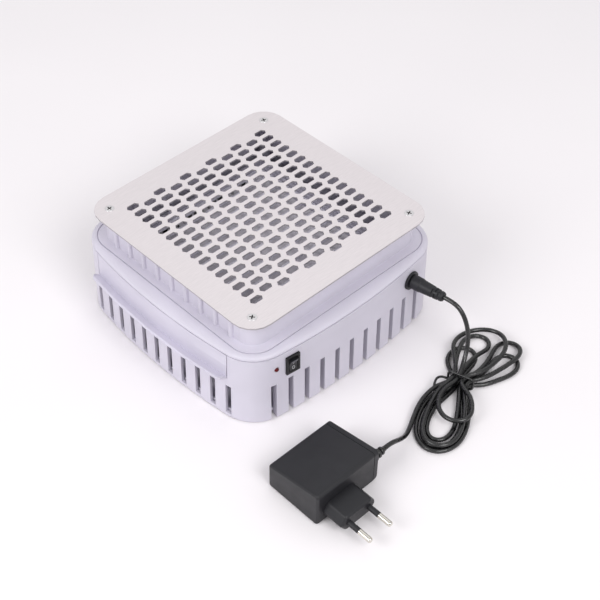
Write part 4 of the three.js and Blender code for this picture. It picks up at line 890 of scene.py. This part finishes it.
RIB_COUNT = 9
RIB_PITCH = 14.8
RIB_RADIUS = 2.2
RIB_SINK = 0.1
RIB_TOP = 82.6
RIB_ROUND = 0.5
RIB_ROUND_STEPS = 3
DECK_Z = 62.6
RISER_TOP = 83.8
COVER_WALL = 2.4
BAND_OVERHANG = 0.1
BAND_EDGE = 0.7
BAND_STEPS = 10
TONGUE_DEPTH = 2.6
TONGUE_THICK = 1.6
TONGUE_OVERLAP = 1
COVER_FOOT = PARTING + 2 * SEAT_GAP
COVER_POST_TOP = 61
BOSS_RADIUS = 3.3
BOSS_LENGTH = 14
BOSS_DROP = 0.02
PLATE_SCREW_SPOT = 73
BAND_DROP = 0.05
PLAN_STEP_SHARE = 0.06

# The cover's profiles, as pairs of an inset and a rise
BAND_FOOT_PROFILE = [(COVER_WALL, 0), (0.3, 0), (0.15, 0.05), (-BAND_OVERHANG, 0.3)]
SEAM_PROFILE = [(0.12, -0.15), (0.2, -1), (0.8, -1), (0.9, -0.12), (1.02, 0), (3, 0)]
RISER_FOOT_PROFILE = [(-0.6, 0), (-0.18, 0.18), (0, 0.6)]
RISER_TOP_PROFILE = [(0, -0.4), (0.12, -0.12), (0.4, 0), (2.2, 0), (COVER_WALL, -0.2)]
COVER_INSIDE_PROFILE = [(COVER_WALL, -COVER_WALL)]


def blend_rings(first, second, share, z):
    return [Vector((*(a.lerp(b, share)).xy, z)) for a, b in zip(first, second)]


def top_cover():
    """The cover as one closed shell: band, deck with its seam, riser, and the inside."""
    stations = merged_stations([], -1, 1, PLAN_STEP_SHARE)

    def rings_of(plan, z, profile):
        return [plan.ring(inset, z + rise, stations) for inset, rise in profile]

    low, high = COVER_FOOT + BAND_EDGE, DECK_Z - BAND_DROP
    outer = HOUSING.ring(-BAND_OVERHANG, low, stations)
    inner = DECK.ring(0, high, stations)
    rings = rings_of(HOUSING, COVER_FOOT, BAND_FOOT_PROFILE)
    for i in range(BAND_STEPS + 1):
        angle = math.pi / 2 * i / BAND_STEPS
        rings.append(blend_rings(outer, inner, 1 - math.cos(angle), low + (high - low) * math.sin(angle)))
    rings += rings_of(DECK, DECK_Z, SEAM_PROFILE)
    rings += rings_of(RISER, DECK_Z, RISER_FOOT_PROFILE)
    rings += rings_of(RISER, RISER_TOP, RISER_TOP_PROFILE)
    rings += rings_of(RISER, DECK_Z, COVER_INSIDE_PROFILE)
    rings += rings_of(DECK, DECK_Z, COVER_INSIDE_PROFILE)
    rings.append(HOUSING.ring(COVER_WALL, low, stations))
    corners = [point for ring in rings for point in ring]
    faces = rings_to_faces(len(rings[0]), len(rings), True)
    piece = add_mesh("cover_shell", corners, faces, "lavender_plastic")
    return finish_piece(shade(piece, CRISP_ANGLE), "top_cover")


def cover_ribs():
    """The half-round ribs up the riser's front."""
    rounding = end_rounding(RIB_ROUND, RIB_ROUND_STEPS)
    profile = [(0, DECK_Z), (RIB_RADIUS, DECK_Z)]
    profile += [(RIB_RADIUS - aside, RIB_TOP - down) for down, aside in rounding]
    profile.append((0, RIB_TOP))
    for i, x in enumerate(even_spots(RIB_COUNT, RIB_PITCH)):
        place = Matrix.Translation((x, RIB_SINK - RISER.half, 0))
        rib = turned("cover_rib_%d" % (i + 1), profile, "lavender_plastic", place, FEWER_TURN_STEPS)
        finish_piece(rib, "top_cover")


def add_tongue(corners, faces):
    """Adds the tongue that drops into the housing; it leaves the drawer's opening free."""
    stations = merged_stations([], -1, 1, PLAN_STEP_SHARE)
    outer, inner = HOUSING_WALL + SEAT_GAP, HOUSING_WALL + SEAT_GAP + TONGUE_THICK
    foot, top = PARTING - TONGUE_DEPTH, COVER_FOOT + TONGUE_OVERLAP
    levels = [(outer, foot), (outer, top), (inner, top), (inner, foot)]
    rings = [HOUSING.ring(inset, z, stations) for inset, z in levels]
    first, count = len(corners), len(rings[0])
    corners += [point for ring in rings for point in ring]

    def is_kept(i):
        middle = (rings[0][i] + rings[0][(i + 1) % count]) / 2
        return not (middle.y < 0 and abs(middle.x) < POST_SPOT)

    for face in rings_to_faces(count, len(rings), True):
        if is_kept(face[0] % count):
            faces.append(tuple(first + i for i in face))
    ends = [i for i in range(count) if is_kept(i) != is_kept(i - 1)]
    faces += [tuple(first + level * count + i for level in range(len(rings))) for i in ends]


def cover_inside():
    """The cover's posts and bosses, and its tongue."""
    corners, faces = [], []
    for x, y in ((1, 1), (-1, 1), (-1, -1), (1, -1)):
        for spot, radius, foot, top in (
            (POST_SPOT, POST_RADIUS, SHELF_TOP + SEAT_GAP, COVER_POST_TOP),
            (PLATE_SCREW_SPOT, BOSS_RADIUS, RISER_TOP - BOSS_LENGTH, RISER_TOP - BOSS_DROP),
        ):
            profile = [(POST_BORE, foot), (radius, foot), (radius, top), (POST_BORE, top)]
            add_turned(corners, faces, profile, Matrix.Translation((x * spot, y * spot, 0)), POST_STEPS)
    add_tongue(corners, faces)
    piece = shade(add_mesh("cover_inside", corners, faces, "lavender_plastic"))
    return finish_piece(piece, "top_cover")


# Copies of the CAD pieces with rounded edges

COPY_PROFILE_SHARE = 0.6
PLATE_ROUND = 0.2
UPRIGHT_SHARE = 0.35

# The radius of the rounding, and the nodes that have it
ROUNDED_NODES = {
    0.4: ("foot_1", "foot_2", "foot_3", "foot_4"),
    0.3: ("bottom_cover", "fan_shelf", "motor_mount", "motor_case"),
    0.25: ("filter_frame", "filter_media", "case_screw_1", "case_screw_2", "case_screw_3", "case_screw_4"),
    0.2: ("impeller", "impeller_nut", "motor_stator", "motor_rotor", "jack_nut"),
    0.15: (
        "motor_shaft", "bearing_lower", "bearing_upper", "motor_screw_1", "motor_screw_2", "motor_screw_3",
        "plug_barrel", "lamp_board",
    ),
}


def rounded_copy(node, width, reshape=None):
    """A copy of a CAD piece with rounded edges; reshape may move its corners first."""
    mesh = frame["nodes"][node].data.copy()
    form = bmesh.new()
    form.from_mesh(mesh)
    bmesh.ops.remove_doubles(form, verts=form.verts, dist=MERGE_DISTANCE * MM)
    bmesh.ops.dissolve_limit(form, angle_limit=FLAT_ANGLE, verts=form.verts, edges=form.edges)
    if reshape:
        reshape(form)
    edges = [edge for edge in form.edges if edge.is_manifold and edge.calc_face_angle() > SHARP_ANGLE]
    bmesh.ops.bevel(
        form, geom=edges, offset=width * MM, offset_type="OFFSET", segments=BEVEL_SEGMENTS,
        profile=COPY_PROFILE_SHARE, affect="EDGES", clamp_overlap=True, loop_slide=True,
    )
    smooth_form(form, COPY_ANGLE)
    form.to_mesh(mesh)
    form.free()
    mesh.materials.clear()
    mesh.materials.append(MATERIALS[SLOT_OF[node]])
    return finish_piece(weigh_normals(placed(node + "_skin", mesh)), node)


def rounded_copies():
    for width, nodes in ROUNDED_NODES.items():
        for node in nodes:
            rounded_copy(node, width)


def dress_nodes():
    """Gives the CAD pieces themselves their finishes."""
    for node, piece in frame["nodes"].items():
        piece.data.materials.clear()
        piece.data.materials.append(MATERIALS[SLOT_OF[node]])


def grille_plate():
    """The perforated plate, with darker steel painted on its upright faces, the punched edges and slot
    walls, as painted shade.
    """
    piece = rounded_copy("grille_plate", PLATE_ROUND)
    piece.data.materials.append(MATERIALS["edge_painted_shade"])
    # Every upright face takes the darker steel: painted shade.
    for face in piece.data.polygons:
        if abs(face.normal.z) < UPRIGHT_SHARE:
            face.material_index = 1


# Drawer: the panel stands straight over a thin, slightly hollow ledge

DRAWER_ROUND = 0.3

# The CAD drawer's front: the heights of its lip's corners, the lip's reach and root, and the panel
LIP_HEIGHTS = [38.6, 39.3, 40, 41.5, 42.2]
LIP_REACH = 4.8
LIP_ROOT_Z = 43.3
PANEL_FOOT = 42.6
PANEL_FRONT = -85
SAME_HEIGHT = 0.05
ROOT_REACH = 0.2

# What those corners become, the roots as a height and a reach, and how the panel runs down to them
LEDGE_HEIGHTS = [37.9, 39.6, 40.1, 41.2, 41.6]
LEDGE_REACH = 7.3
LEDGE_ROOT = (38.9, 0.2)
LEDGE_ROOT_LOW = (38.6, 0.1)
LEDGE_MERGE = 0.02
LEDGE_SLIVER = 0.01
PANEL_SWEEP_TOP = 50
PANEL_SWEEP_LOW = 43.8
PANEL_SWEEP_REACH = 0.1
PANEL_SWEEP_STEPS = 6


def ledge_place(z, reach):
    """Where a corner of the CAD drawer's front goes, as its height and its reach past the wall."""
    if abs(z - LIP_ROOT_Z) < SAME_HEIGHT or (PANEL_FOOT < z < LIP_ROOT_Z and reach > ROOT_REACH):
        return LEDGE_ROOT
    if abs(z - PANEL_FOOT) < SAME_HEIGHT and reach < ROOT_REACH:
        return LEDGE_ROOT_LOW
    if z > LIP_ROOT_Z:
        share = max((PANEL_SWEEP_TOP - z) / (PANEL_SWEEP_TOP - LIP_ROOT_Z), 0)
        return z - share * (LIP_ROOT_Z - LEDGE_ROOT[0]), PANEL_SWEEP_REACH * share ** 2
    out = reach * LEDGE_REACH / LIP_REACH
    for old, new in zip(LIP_HEIGHTS, LEDGE_HEIGHTS):
        if abs(z - old) < SAME_HEIGHT:
            return new, out
    return z, out


def ledge(form):
    """Moves the corners of the CAD drawer's panel and lip to a straight panel and a ledge."""
    for i in range(PANEL_SWEEP_STEPS):
        z = PANEL_SWEEP_TOP - (PANEL_SWEEP_TOP - PANEL_SWEEP_LOW) * i / (PANEL_SWEEP_STEPS - 1)
        bmesh.ops.bisect_plane(
            form, geom=[*form.verts, *form.edges, *form.faces], plane_co=(0, 0, z * MM), plane_no=UP,
        )
    axis, front = at((0, HOUSING.back, 0)), at((0, PANEL_FRONT, 0)).y
    for corner in form.verts:
        spot = Vector((*(corner.co - axis).xy, 0))
        height = corner.co.z / MM
        reach = spot.length / MM - HOUSING.side_radius - flare(height)
        if corner.co.y > front or reach < -SAME_HEIGHT:
            continue
        z, out = ledge_place(height, reach)
        spot = axis + spot.normalized() * (HOUSING.side_radius + flare(z) + out) * MM
        corner.co = Vector((*spot.xy, z * MM))
    bmesh.ops.remove_doubles(form, verts=form.verts, dist=LEDGE_MERGE * MM)
    bmesh.ops.dissolve_degenerate(form, edges=form.edges, dist=LEDGE_SLIVER * MM)


# Plate screws, countersunk, with a cross recess

SCREW_SHANK_TOP = 84.1
SCREW_PROFILE = [(1.5, 75.1), (1.5, SCREW_SHANK_TOP), (3.2, 85), (3.35, 85.2), (3.2, 85.38), (2.7, 85.45)]
CROSS_REACH = 1.9
CROSS_HALF = 0.42
CROSS_DEPTH = 1.1
CROSS_FLOOR_SHARE = 0.6
RECESS_MARGIN = 0.05
SCREW_STEPS = 40
SCREW_ANGLE = math.radians(35)

# Each screw's corner of the plate, and how far it is turned in degrees
PLATE_SCREWS = [(1, 1, 20), (-1, 1, 65), (-1, -1, 5), (1, -1, 38)]


def cross_outline():
    a, b = CROSS_HALF, CROSS_REACH
    return [
        (b, -a), (b, a), (a, a), (a, b), (-a, b), (-a, a), (-b, a), (-b, -a), (-a, -a), (-a, -b), (a, -b),
        (a, -a),
    ]


def screw_form(place):
    """A screw's outside and its recess, about the place's own Z."""
    form = bmesh.new()
    angles = [2 * math.pi * i / SCREW_STEPS for i in range(SCREW_STEPS)]
    rings = []
    for radius, z in SCREW_PROFILE:
        spots = [place @ Vector((radius * math.cos(a), radius * math.sin(a), z)) for a in angles]
        rings.append([form.verts.new(at(spot)) for spot in spots])
    for low, high in zip(rings, rings[1:]):
        for i in range(SCREW_STEPS):
            j = (i + 1) % SCREW_STEPS
            form.faces.new((low[i], low[j], high[j], high[i]))
    form.faces.new(rings[0])
    cross, top = cross_outline(), SCREW_PROFILE[-1][1]
    rim, floor = (
        [form.verts.new(at(place @ Vector((u * share, v * share, z)))) for u, v in cross]
        for share, z in ((1, top), (CROSS_FLOOR_SHARE, top - CROSS_DEPTH))
    )
    for i in range(len(cross)):
        j = (i + 1) % len(cross)
        form.faces.new((rim[i], rim[j], floor[j], floor[i]))
    form.faces.new(floor)
    edges = [form.edges.get((ring[i - 1], ring[i])) for ring in (rings[-1], rim) for i in range(len(ring))]
    bmesh.ops.triangle_fill(form, use_beauty=True, edges=edges)
    bmesh.ops.recalc_face_normals(form, faces=form.faces)
    return form


def plate_screw(node, x, y, turn):
    """A plate screw, with dark steel painted into its recess as painted shade."""
    place = Matrix.Translation((x, y, 0)) @ Matrix.Rotation(math.radians(turn), 4, "Z")
    piece = add_form(node + "_head", screw_form(place), SLOT_OF[node], "recess_painted_shade")
    middle, low = at((x, y, 0)), SCREW_SHANK_TOP * MM
    high = (SCREW_PROFILE[-1][1] - RECESS_MARGIN) * MM
    # The recess's walls and floor take the dark steel: painted shade.
    for face in piece.data.polygons:
        if low < face.center.z < high and (face.center - middle).xy.length < CROSS_REACH * MM:
            face.material_index = 1
    finish_piece(shade(piece, SCREW_ANGLE), node)


def plate_screws():
    for i, (x, y, turn) in enumerate(PLATE_SCREWS):
        plate_screw("plate_screw_%d" % (i + 1), x * PLATE_SCREW_SPOT, y * PLATE_SCREW_SPOT, turn)


# Switch: a sharp bezel, the rocker's ribs and its marks

BEZEL_HALF = (5.5, 7.75)
WELL_HALF = (3.5, 5.8)
SWITCH_BODY_HALF = (4.4, 6.7)
SWITCH_LEVELS = [
    (WELL_HALF, -3.6, 0), (WELL_HALF, 1.3, 0), (WELL_HALF, 1.7, -0.35), (BEZEL_HALF, 1.7, 0.2),
    (BEZEL_HALF, 1.5, 0), (BEZEL_HALF, 0.1, 0), (SWITCH_BODY_HALF, 0.1, 0), (SWITCH_BODY_HALF, -13, 0),
]
SWITCH_CORNER = 0.4
SWITCH_CORNER_STEPS = 3
BEZEL_ANGLE = math.radians(30)
ROCKER_OUT = 0.2
ROCKER_TURN = math.radians(10)
ROCKER_FRAME = SWITCH_FRAME @ Matrix.Translation((ROCKER_OUT, 0, 0)) @ Matrix.Rotation(ROCKER_TURN, 4, "Y")
ROCKER_MIDDLE = 1
ROCKER_RISE = 2.2
ROCKER_REACH = 5.2
ROCKER_HALF = 3.2
ROCKER_ROUND = 0.25
ROCKER_RIB_SHARES = (0.52, 0.62, 0.72, 0.82, 0.92)
ROCKER_RIB_MARGIN = 0.7
ROCKER_RIB_RADIUS = 0.2
MARK_RADIUS = 0.16
MARK_LIFT = 0.02
ON_MARK_SHARES = (0.1, 0.38)
OFF_MARK_SHARE = 0.56
OFF_MARK_HALF = (0.95, 1.25)
OFF_MARK_STEPS = 32
TUBE_RESOLUTION = 3


def switch_bezel():
    """The switch's body, from the well that the rocker sits in round the bezel to its back."""
    rings = []
    for half, x, inset in SWITCH_LEVELS:
        outline = rounded_outline(rectangle(*half), SWITCH_CORNER, inset, SWITCH_CORNER_STEPS)
        rings.append([SWITCH_FRAME @ Vector((x, y, z)) for y, z in outline])
    finish_piece(lofted("switch_bezel", rings, "dark_plastic", BEZEL_ANGLE), "switch_body")


def rocker_face(share, side, lift=0.0):
    """A place on the rocker's middle line, at a share of the way to its upper (1) or lower (-1) end."""
    run = Vector((ROCKER_RISE - ROCKER_MIDDLE, 0, ROCKER_REACH * side))
    out = Vector((ROCKER_REACH, 0, -(ROCKER_RISE - ROCKER_MIDDLE) * side)).normalized()
    return Vector((ROCKER_MIDDLE, 0, 0)) + run * share + out * lift


def tube(name, line, radius, material, node, resolution=TUBE_RESOLUTION):
    """A round bar along a line, as a mesh."""
    curve = curve_piece(name + "_line", line, radius, material, resolution)
    graph = bpy.context.evaluated_depsgraph_get()
    mesh = bpy.data.meshes.new_from_object(curve.evaluated_get(graph))
    bpy.data.objects.remove(curve)
    return finish_piece(shade(placed(name, mesh), SOFT_ANGLE), node)


def rocker_ribs():
    """The grip ribs across the rocker's upper half, grey as a painted highlight."""
    half = ROCKER_HALF - ROCKER_RIB_MARGIN
    for i, share in enumerate(ROCKER_RIB_SHARES):
        ends = [ROCKER_FRAME @ (rocker_face(share, 1) + Vector((0, y, 0))) for y in (-half, half)]
        tube("rocker_rib_%d" % (i + 1), ends, ROCKER_RIB_RADIUS, "rib_painted_highlight", "switch_rocker")


def rocker_marks():
    """The line that marks on, and the ring that marks off."""
    ends = [ROCKER_FRAME @ rocker_face(share, 1, MARK_LIFT) for share in ON_MARK_SHARES]
    tube("rocker_mark_on", ends, MARK_RADIUS, "mark_paint", "switch_rocker")
    middle = rocker_face(OFF_MARK_SHARE, -1, MARK_LIFT)
    across = Vector((0, OFF_MARK_HALF[0], 0))
    up = (rocker_face(1, -1) - rocker_face(0, -1)).normalized() * OFF_MARK_HALF[1]
    ring = []
    for i in range(OFF_MARK_STEPS + 1):
        angle = 2 * math.pi * i / OFF_MARK_STEPS
        ring.append(ROCKER_FRAME @ (middle + up * math.cos(angle) + across * math.sin(angle)))
    tube("rocker_mark_off", ring, MARK_RADIUS, "mark_paint", "switch_rocker")


# Lamp, jack and plug, drawn along the wall frames' outward axis

LENS_PROFILE = [(0, -6), (1.5, -6), (1.5, 0.4), (1.4, 0.7), (1.1, 0.95), (0.6, 1.1), (0, 1.15)]
JACK_PROFILE = [
    (0, -13), (5.4, -13), (5.4, 0.2), (6.7, 0.2), (7, 0.5), (7, 1.4), (6.85, 1.75), (6.5, 1.9), (3.4, 1.9),
    (3.05, 1.6), (3.05, -8.6), (0, -8.6),
]
GRIP_PROFILE = [
    (2.2, 4.7), (2.4, 5.0), (2.9, 5.2), (9, 5.1), (9.5, 5.0), (10, 4.75), (19.4, 4.15), (25.4, 3.75),
    (27, 3.5), (27.7, 3.2), (28, 2.7),
]
GRIP_NOTCHES = [(19.9, 0), (22.3, 45), (24.7, 0)]
GRIP_NOTCHES_PER_ROW = 4
GRIP_NOTCH_WIDTH = 1.1
GRIP_NOTCH_DEPTH = 1.0
GRIP_NOTCH_START_SHARE = 0.38
GRIP_NOTCH_SLOPE = 6
GRIP_STEP = 0.25
GRIP_SIDES = 72


def clamped(value):
    return min(max(value, 0), 1)


def along_profile(profile, x):
    """The radius of a profile of (distance, radius) pairs at a distance."""
    for (x0, r0), (x1, r1) in zip(profile, profile[1:]):
        if x0 <= x <= x1:
            return r0 + (r1 - r0) * (x - x0) / (x1 - x0)
    return profile[-1][1]


def notch_depth(x, angle):
    """How deep the grip's notches are at a distance along it and an angle round it."""
    depth = 0
    for spot, turn in GRIP_NOTCHES:
        along = clamped((GRIP_NOTCH_WIDTH / 2 - abs(x - spot)) / GRIP_STEP + 0.5)
        sector = abs(math.sin(GRIP_NOTCHES_PER_ROW / 2 * (angle - math.radians(turn))))
        depth += GRIP_NOTCH_DEPTH * along * clamped((sector - GRIP_NOTCH_START_SHARE) * GRIP_NOTCH_SLOPE)
    return depth


def plug_grip():
    """A tapered grip with three rows of notches near the cord's end."""
    start, end = GRIP_PROFILE[0][0], GRIP_PROFILE[-1][0]
    count = round((end - start) / GRIP_STEP)
    angles = [2 * math.pi * i / GRIP_SIDES for i in range(GRIP_SIDES)]
    rings = []
    for i in range(count + 1):
        x = start + (end - start) * i / count
        ring = []
        for angle in angles:
            radius = along_profile(GRIP_PROFILE, x) - notch_depth(x, angle)
            ring.append(JACK_FRAME @ Vector((x, radius * math.cos(angle), radius * math.sin(angle))))
        rings.append(ring)
    finish_piece(lofted("plug_grip_body", rings, SLOT_OF["plug_grip"], SOFT_ANGLE), "plug_grip")


def lamp_lens():
    finish_piece(turned("lamp_lens", LENS_PROFILE, "red_lens", LAMP_FRAME @ OUTWARD), "lamp")


def jack_body():
    piece = turned("jack_body", JACK_PROFILE, SLOT_OF["power_jack"], JACK_FRAME @ OUTWARD)
    finish_piece(piece, "power_jack")


# Tie round the hank: a thin wire with a bent tail

TIE_WIRE = 0.85
TIE_HALF = 9.2
TIE_LOW = 0.9
TIE_HIGH = 11
TIE_CORNER = 3.2
TIE_CORNER_STEPS = 8
TIE_LEAD = 0.6
TIE_TAIL = [
    (-8.2, 0.3, 4.6), (-9.4, -1.5, 5.4), (-12.4, -3.2, 6.6), (-14.2, -7, 7.6), (-13.8, -12, 6),
    (-11.4, -16, 3.2),
]
TIE_TAIL_STEPS = 8
TIE_RESOLUTION = 4


def cord_tie():
    """The wire's turn round the hank, whose ends pass each other, and its bent tail."""
    angle = math.radians(TIE_HEADING - 90)
    place = Matrix.Translation((*TIE_MIDDLE, 0)) @ Matrix.Rotation(angle, 4, "Z")
    middle, half = (TIE_LOW + TIE_HIGH) / 2, (TIE_HIGH - TIE_LOW) / 2
    outline = rounded_outline(rectangle(TIE_HALF, half), TIE_CORNER, 0, TIE_CORNER_STEPS)
    loop = []
    for i, (x, z) in enumerate(outline + outline[:TIE_CORNER_STEPS + 1]):
        loop.append(place @ Vector((x, TIE_LEAD * i / len(outline), z + middle)))
    tail = through([place @ Vector(spot) for spot in TIE_TAIL], TIE_TAIL_STEPS)
    for name, line in (("tie_wire", loop), ("tie_tail", tail)):
        tube(name, line, TIE_WIRE, "black_rubber", "cord_tie", TIE_RESOLUTION)


# Power adapter: case, end cap, relief, plug block and pins

ADAPTER_SECTION = [(129, 0), (173.5, 0), (173.5, 29), (129, 21)]
ADAPTER_ROUND = 2.6
ADAPTER_FRONT = -112
ADAPTER_SEAM = -61.65
ADAPTER_BACK = -57.5
ADAPTER_CORNER_STEPS = 7
SEAM_HALF = 0.12
SEAM_ROUND = 0.22
CASE_END_ROUND = 1.8
CAP_END_ROUND = 1.2
CAP_RISE = 2.2
CAP_RISE_RUN = 2.2
RELIEF_STAND = 0.05
RELIEF_PROFILE = [
    (0, 0), (3.6, 0), (3.7, 0.3), (3.7, 1.4), (3.4, 1.9), (2.5, 2.1), (2.4, 2.9), (3.0, 3.2), (3.3, 3.7),
    (3.3, 4.7), (3.0, 5.2), (2.2, 5.4), (2.1, 6.2), (2.7, 6.5), (2.9, 7), (2.8, 8), (2.4, 8.5), (1.9, 8.8),
    (1.75, 10.6), (1.5, 11), (0, 11),
]
BLOCK_SECTION = [(-11, -6.6), (11, -6.6), (15.5, 0), (11, 6.6), (-11, 6.6), (-15.5, 0)]
BLOCK_MIDDLE = (-92.3, 10.8)
BLOCK_CORNER = 2.6
BLOCK_CORNER_STEPS = 6
BLOCK_FOOT = 173.6
BLOCK_END = 190.3
BLOCK_END_ROUND = 2.2
PIN_FOOT = 190.6
PIN_SINK = 0.3
PIN_SPACING = 17.6
SLEEVE_PROFILE = [(1.7, 0), (2, 0), (2, 8.6), (1.9, 8.9), (1.7, 9)]
PIN_PROFILE = [
    (0, 0), (1.4, 0), (1.4, 9.1), (2, 9.1), (2, 17.6), (1.9, 18.2), (1.6, 18.7), (1, 18.95), (0, 19),
]


def adapter_stations():
    """The case's and the cap's stations: where along Y, how far inset, and how high the foot is."""
    case = [(ADAPTER_FRONT + advance, inset, 0) for inset, advance in end_rounding(CASE_END_ROUND)]
    cap = []
    seam = [(0, SEAM_ROUND), (SEAM_ROUND / 3, SEAM_ROUND / 3), (SEAM_ROUND, 0)]
    for advance, inset in reversed(seam):
        case.append((ADAPTER_SEAM - SEAM_HALF - advance, inset, 0))
    for advance, inset in seam:
        cap.append((ADAPTER_SEAM + SEAM_HALF + advance, inset, 0))
    for inset, advance in reversed(end_rounding(CAP_END_ROUND)):
        share = max((CAP_RISE_RUN - advance) / CAP_RISE_RUN, 0)
        cap.append((ADAPTER_BACK - advance, inset, CAP_RISE * share))
    return case, cap


def adapter():
    """The adapter's case and its end cap, with a fine seam between them."""
    case, cap = adapter_stations()
    for name, node, stations in (
        ("adapter_shell", "adapter_case", case), ("adapter_cap", "adapter_end_cap", cap),
    ):
        rings = []
        for y, inset, rise in stations:
            section = [(x, max(z, rise)) for x, z in ADAPTER_SECTION]
            outline = rounded_outline(section, ADAPTER_ROUND, inset, ADAPTER_CORNER_STEPS)
            rings.append([Vector((x, y, z)) for x, z in outline])
        finish_piece(lofted(name, rings, SLOT_OF[node], CRISP_ANGLE), node)


def strain_relief():
    """The ringed sleeve where the cord goes into the adapter."""
    place = Matrix.Translation((RELIEF_MOUTH[0], ADAPTER_BACK + RELIEF_STAND, RELIEF_MOUTH[2]))
    place @= Matrix.Rotation(-math.pi / 2, 4, "X")
    finish_piece(turned("relief_body", RELIEF_PROFILE, SLOT_OF["cord_relief"], place), "cord_relief")


def plug_block():
    """The block that carries the pins, with a rounded end."""
    stations = [(BLOCK_FOOT, 0)]
    stations += [(BLOCK_END - advance, inset) for inset, advance in reversed(end_rounding(BLOCK_END_ROUND))]
    rings = []
    for x, inset in stations:
        outline = rounded_outline(BLOCK_SECTION, BLOCK_CORNER, inset, BLOCK_CORNER_STEPS)
        rings.append([Vector((x, BLOCK_MIDDLE[0] + y, BLOCK_MIDDLE[1] + z)) for y, z in outline])
    finish_piece(lofted("plug_block_body", rings, SLOT_OF["plug_block"], CRISP_ANGLE), "plug_block")


def mains_pins():
    """The two pins and their half sleeves."""
    for number, side in ((1, -1), (2, 1)):
        foot = (PIN_FOOT - PIN_SINK, BLOCK_MIDDLE[0] + side * PIN_SPACING / 2, BLOCK_MIDDLE[1])
        place = Matrix.Translation(foot) @ OUTWARD
        for name, profile, node in (
            ("sleeve_body_%d" % number, SLEEVE_PROFILE, "pin_sleeve_%d" % number),
            ("pin_body_%d" % number, PIN_PROFILE, "pin_%d" % number),
        ):
            finish_piece(turned(name, profile, SLOT_OF[node], place, FEWER_TURN_STEPS), node)


# Studio, in metres: white paper, an even sky and three round lamps

FLOOR_HALF = 6
PAPER_FEATURE = 300
SKY_STRENGTH = 0.56

# Each lamp's name, place, target, width and power in watts
LAMPS = [
    ("front", (-0.15, -1.54, 1.15), (0, 0, 0.05), 1.0, 14),
    ("right", (1.3, -0.25, 1.35), (0.05, 0, 0.05), 1.0, 14.5),
    ("back", (-0.8, 0.75, 1.65), (0, 0, 0.05), 1.8, 4),
]


def paper_floor():
    paper = Finish("floor_paper", srgb(243, 239, 242), roughness=0.7)
    paper.colours(paper.noise(PAPER_FEATURE, detail=2), srgb(241, 237, 240), srgb(245, 241, 244))
    mesh = bpy.data.meshes.new("floor")
    mesh.from_pydata([(x, y, 0) for x, y in rectangle(FLOOR_HALF, FLOOR_HALF)], [], [(0, 1, 2, 3)])
    mesh.materials.append(MATERIALS["floor_paper"])
    placed("floor", mesh)


def lamp(name, place, target, width, power):
    data = bpy.data.lights.new(name, "AREA")
    data.shape = "DISK"
    data.size = width
    data.energy = power
    light = placed(name, data)
    light.location = place
    light.rotation_euler = (Vector(target) - Vector(place)).to_track_quat("-Z", "Y").to_euler()


def make_studio():
    paper_floor()
    world = bpy.data.worlds.new("studio")
    world.use_nodes = True
    sky = world.node_tree.nodes["Background"].inputs
    sky["Color"].default_value = (1, 1, 1, 1)
    sky["Strength"].default_value = SKY_STRENGTH
    bpy.context.scene.world = world
    for row in LAMPS:
        lamp(*row)
    bpy.context.scene.view_settings.view_transform = "Standard"


make_camera()
dress_nodes()
make_studio()

housing_wall()
housing_posts()
top_cover()
cover_ribs()
cover_inside()
grille_plate()
rounded_copy("drawer", DRAWER_ROUND, ledge)
plate_screws()
switch_bezel()
rounded_copy("switch_rocker", ROCKER_ROUND)
rocker_ribs()
rocker_marks()
lamp_lens()
jack_body()
plug_grip()
cord_tie()
adapter()
strain_relief()
plug_block()
mains_pins()
rounded_copies()

cord = curve_piece("cord", cord_line(), CORD_RADIUS, "black_rubber")
finish_piece(cord, "cord_upper", "cord_hank", "cord_lower")
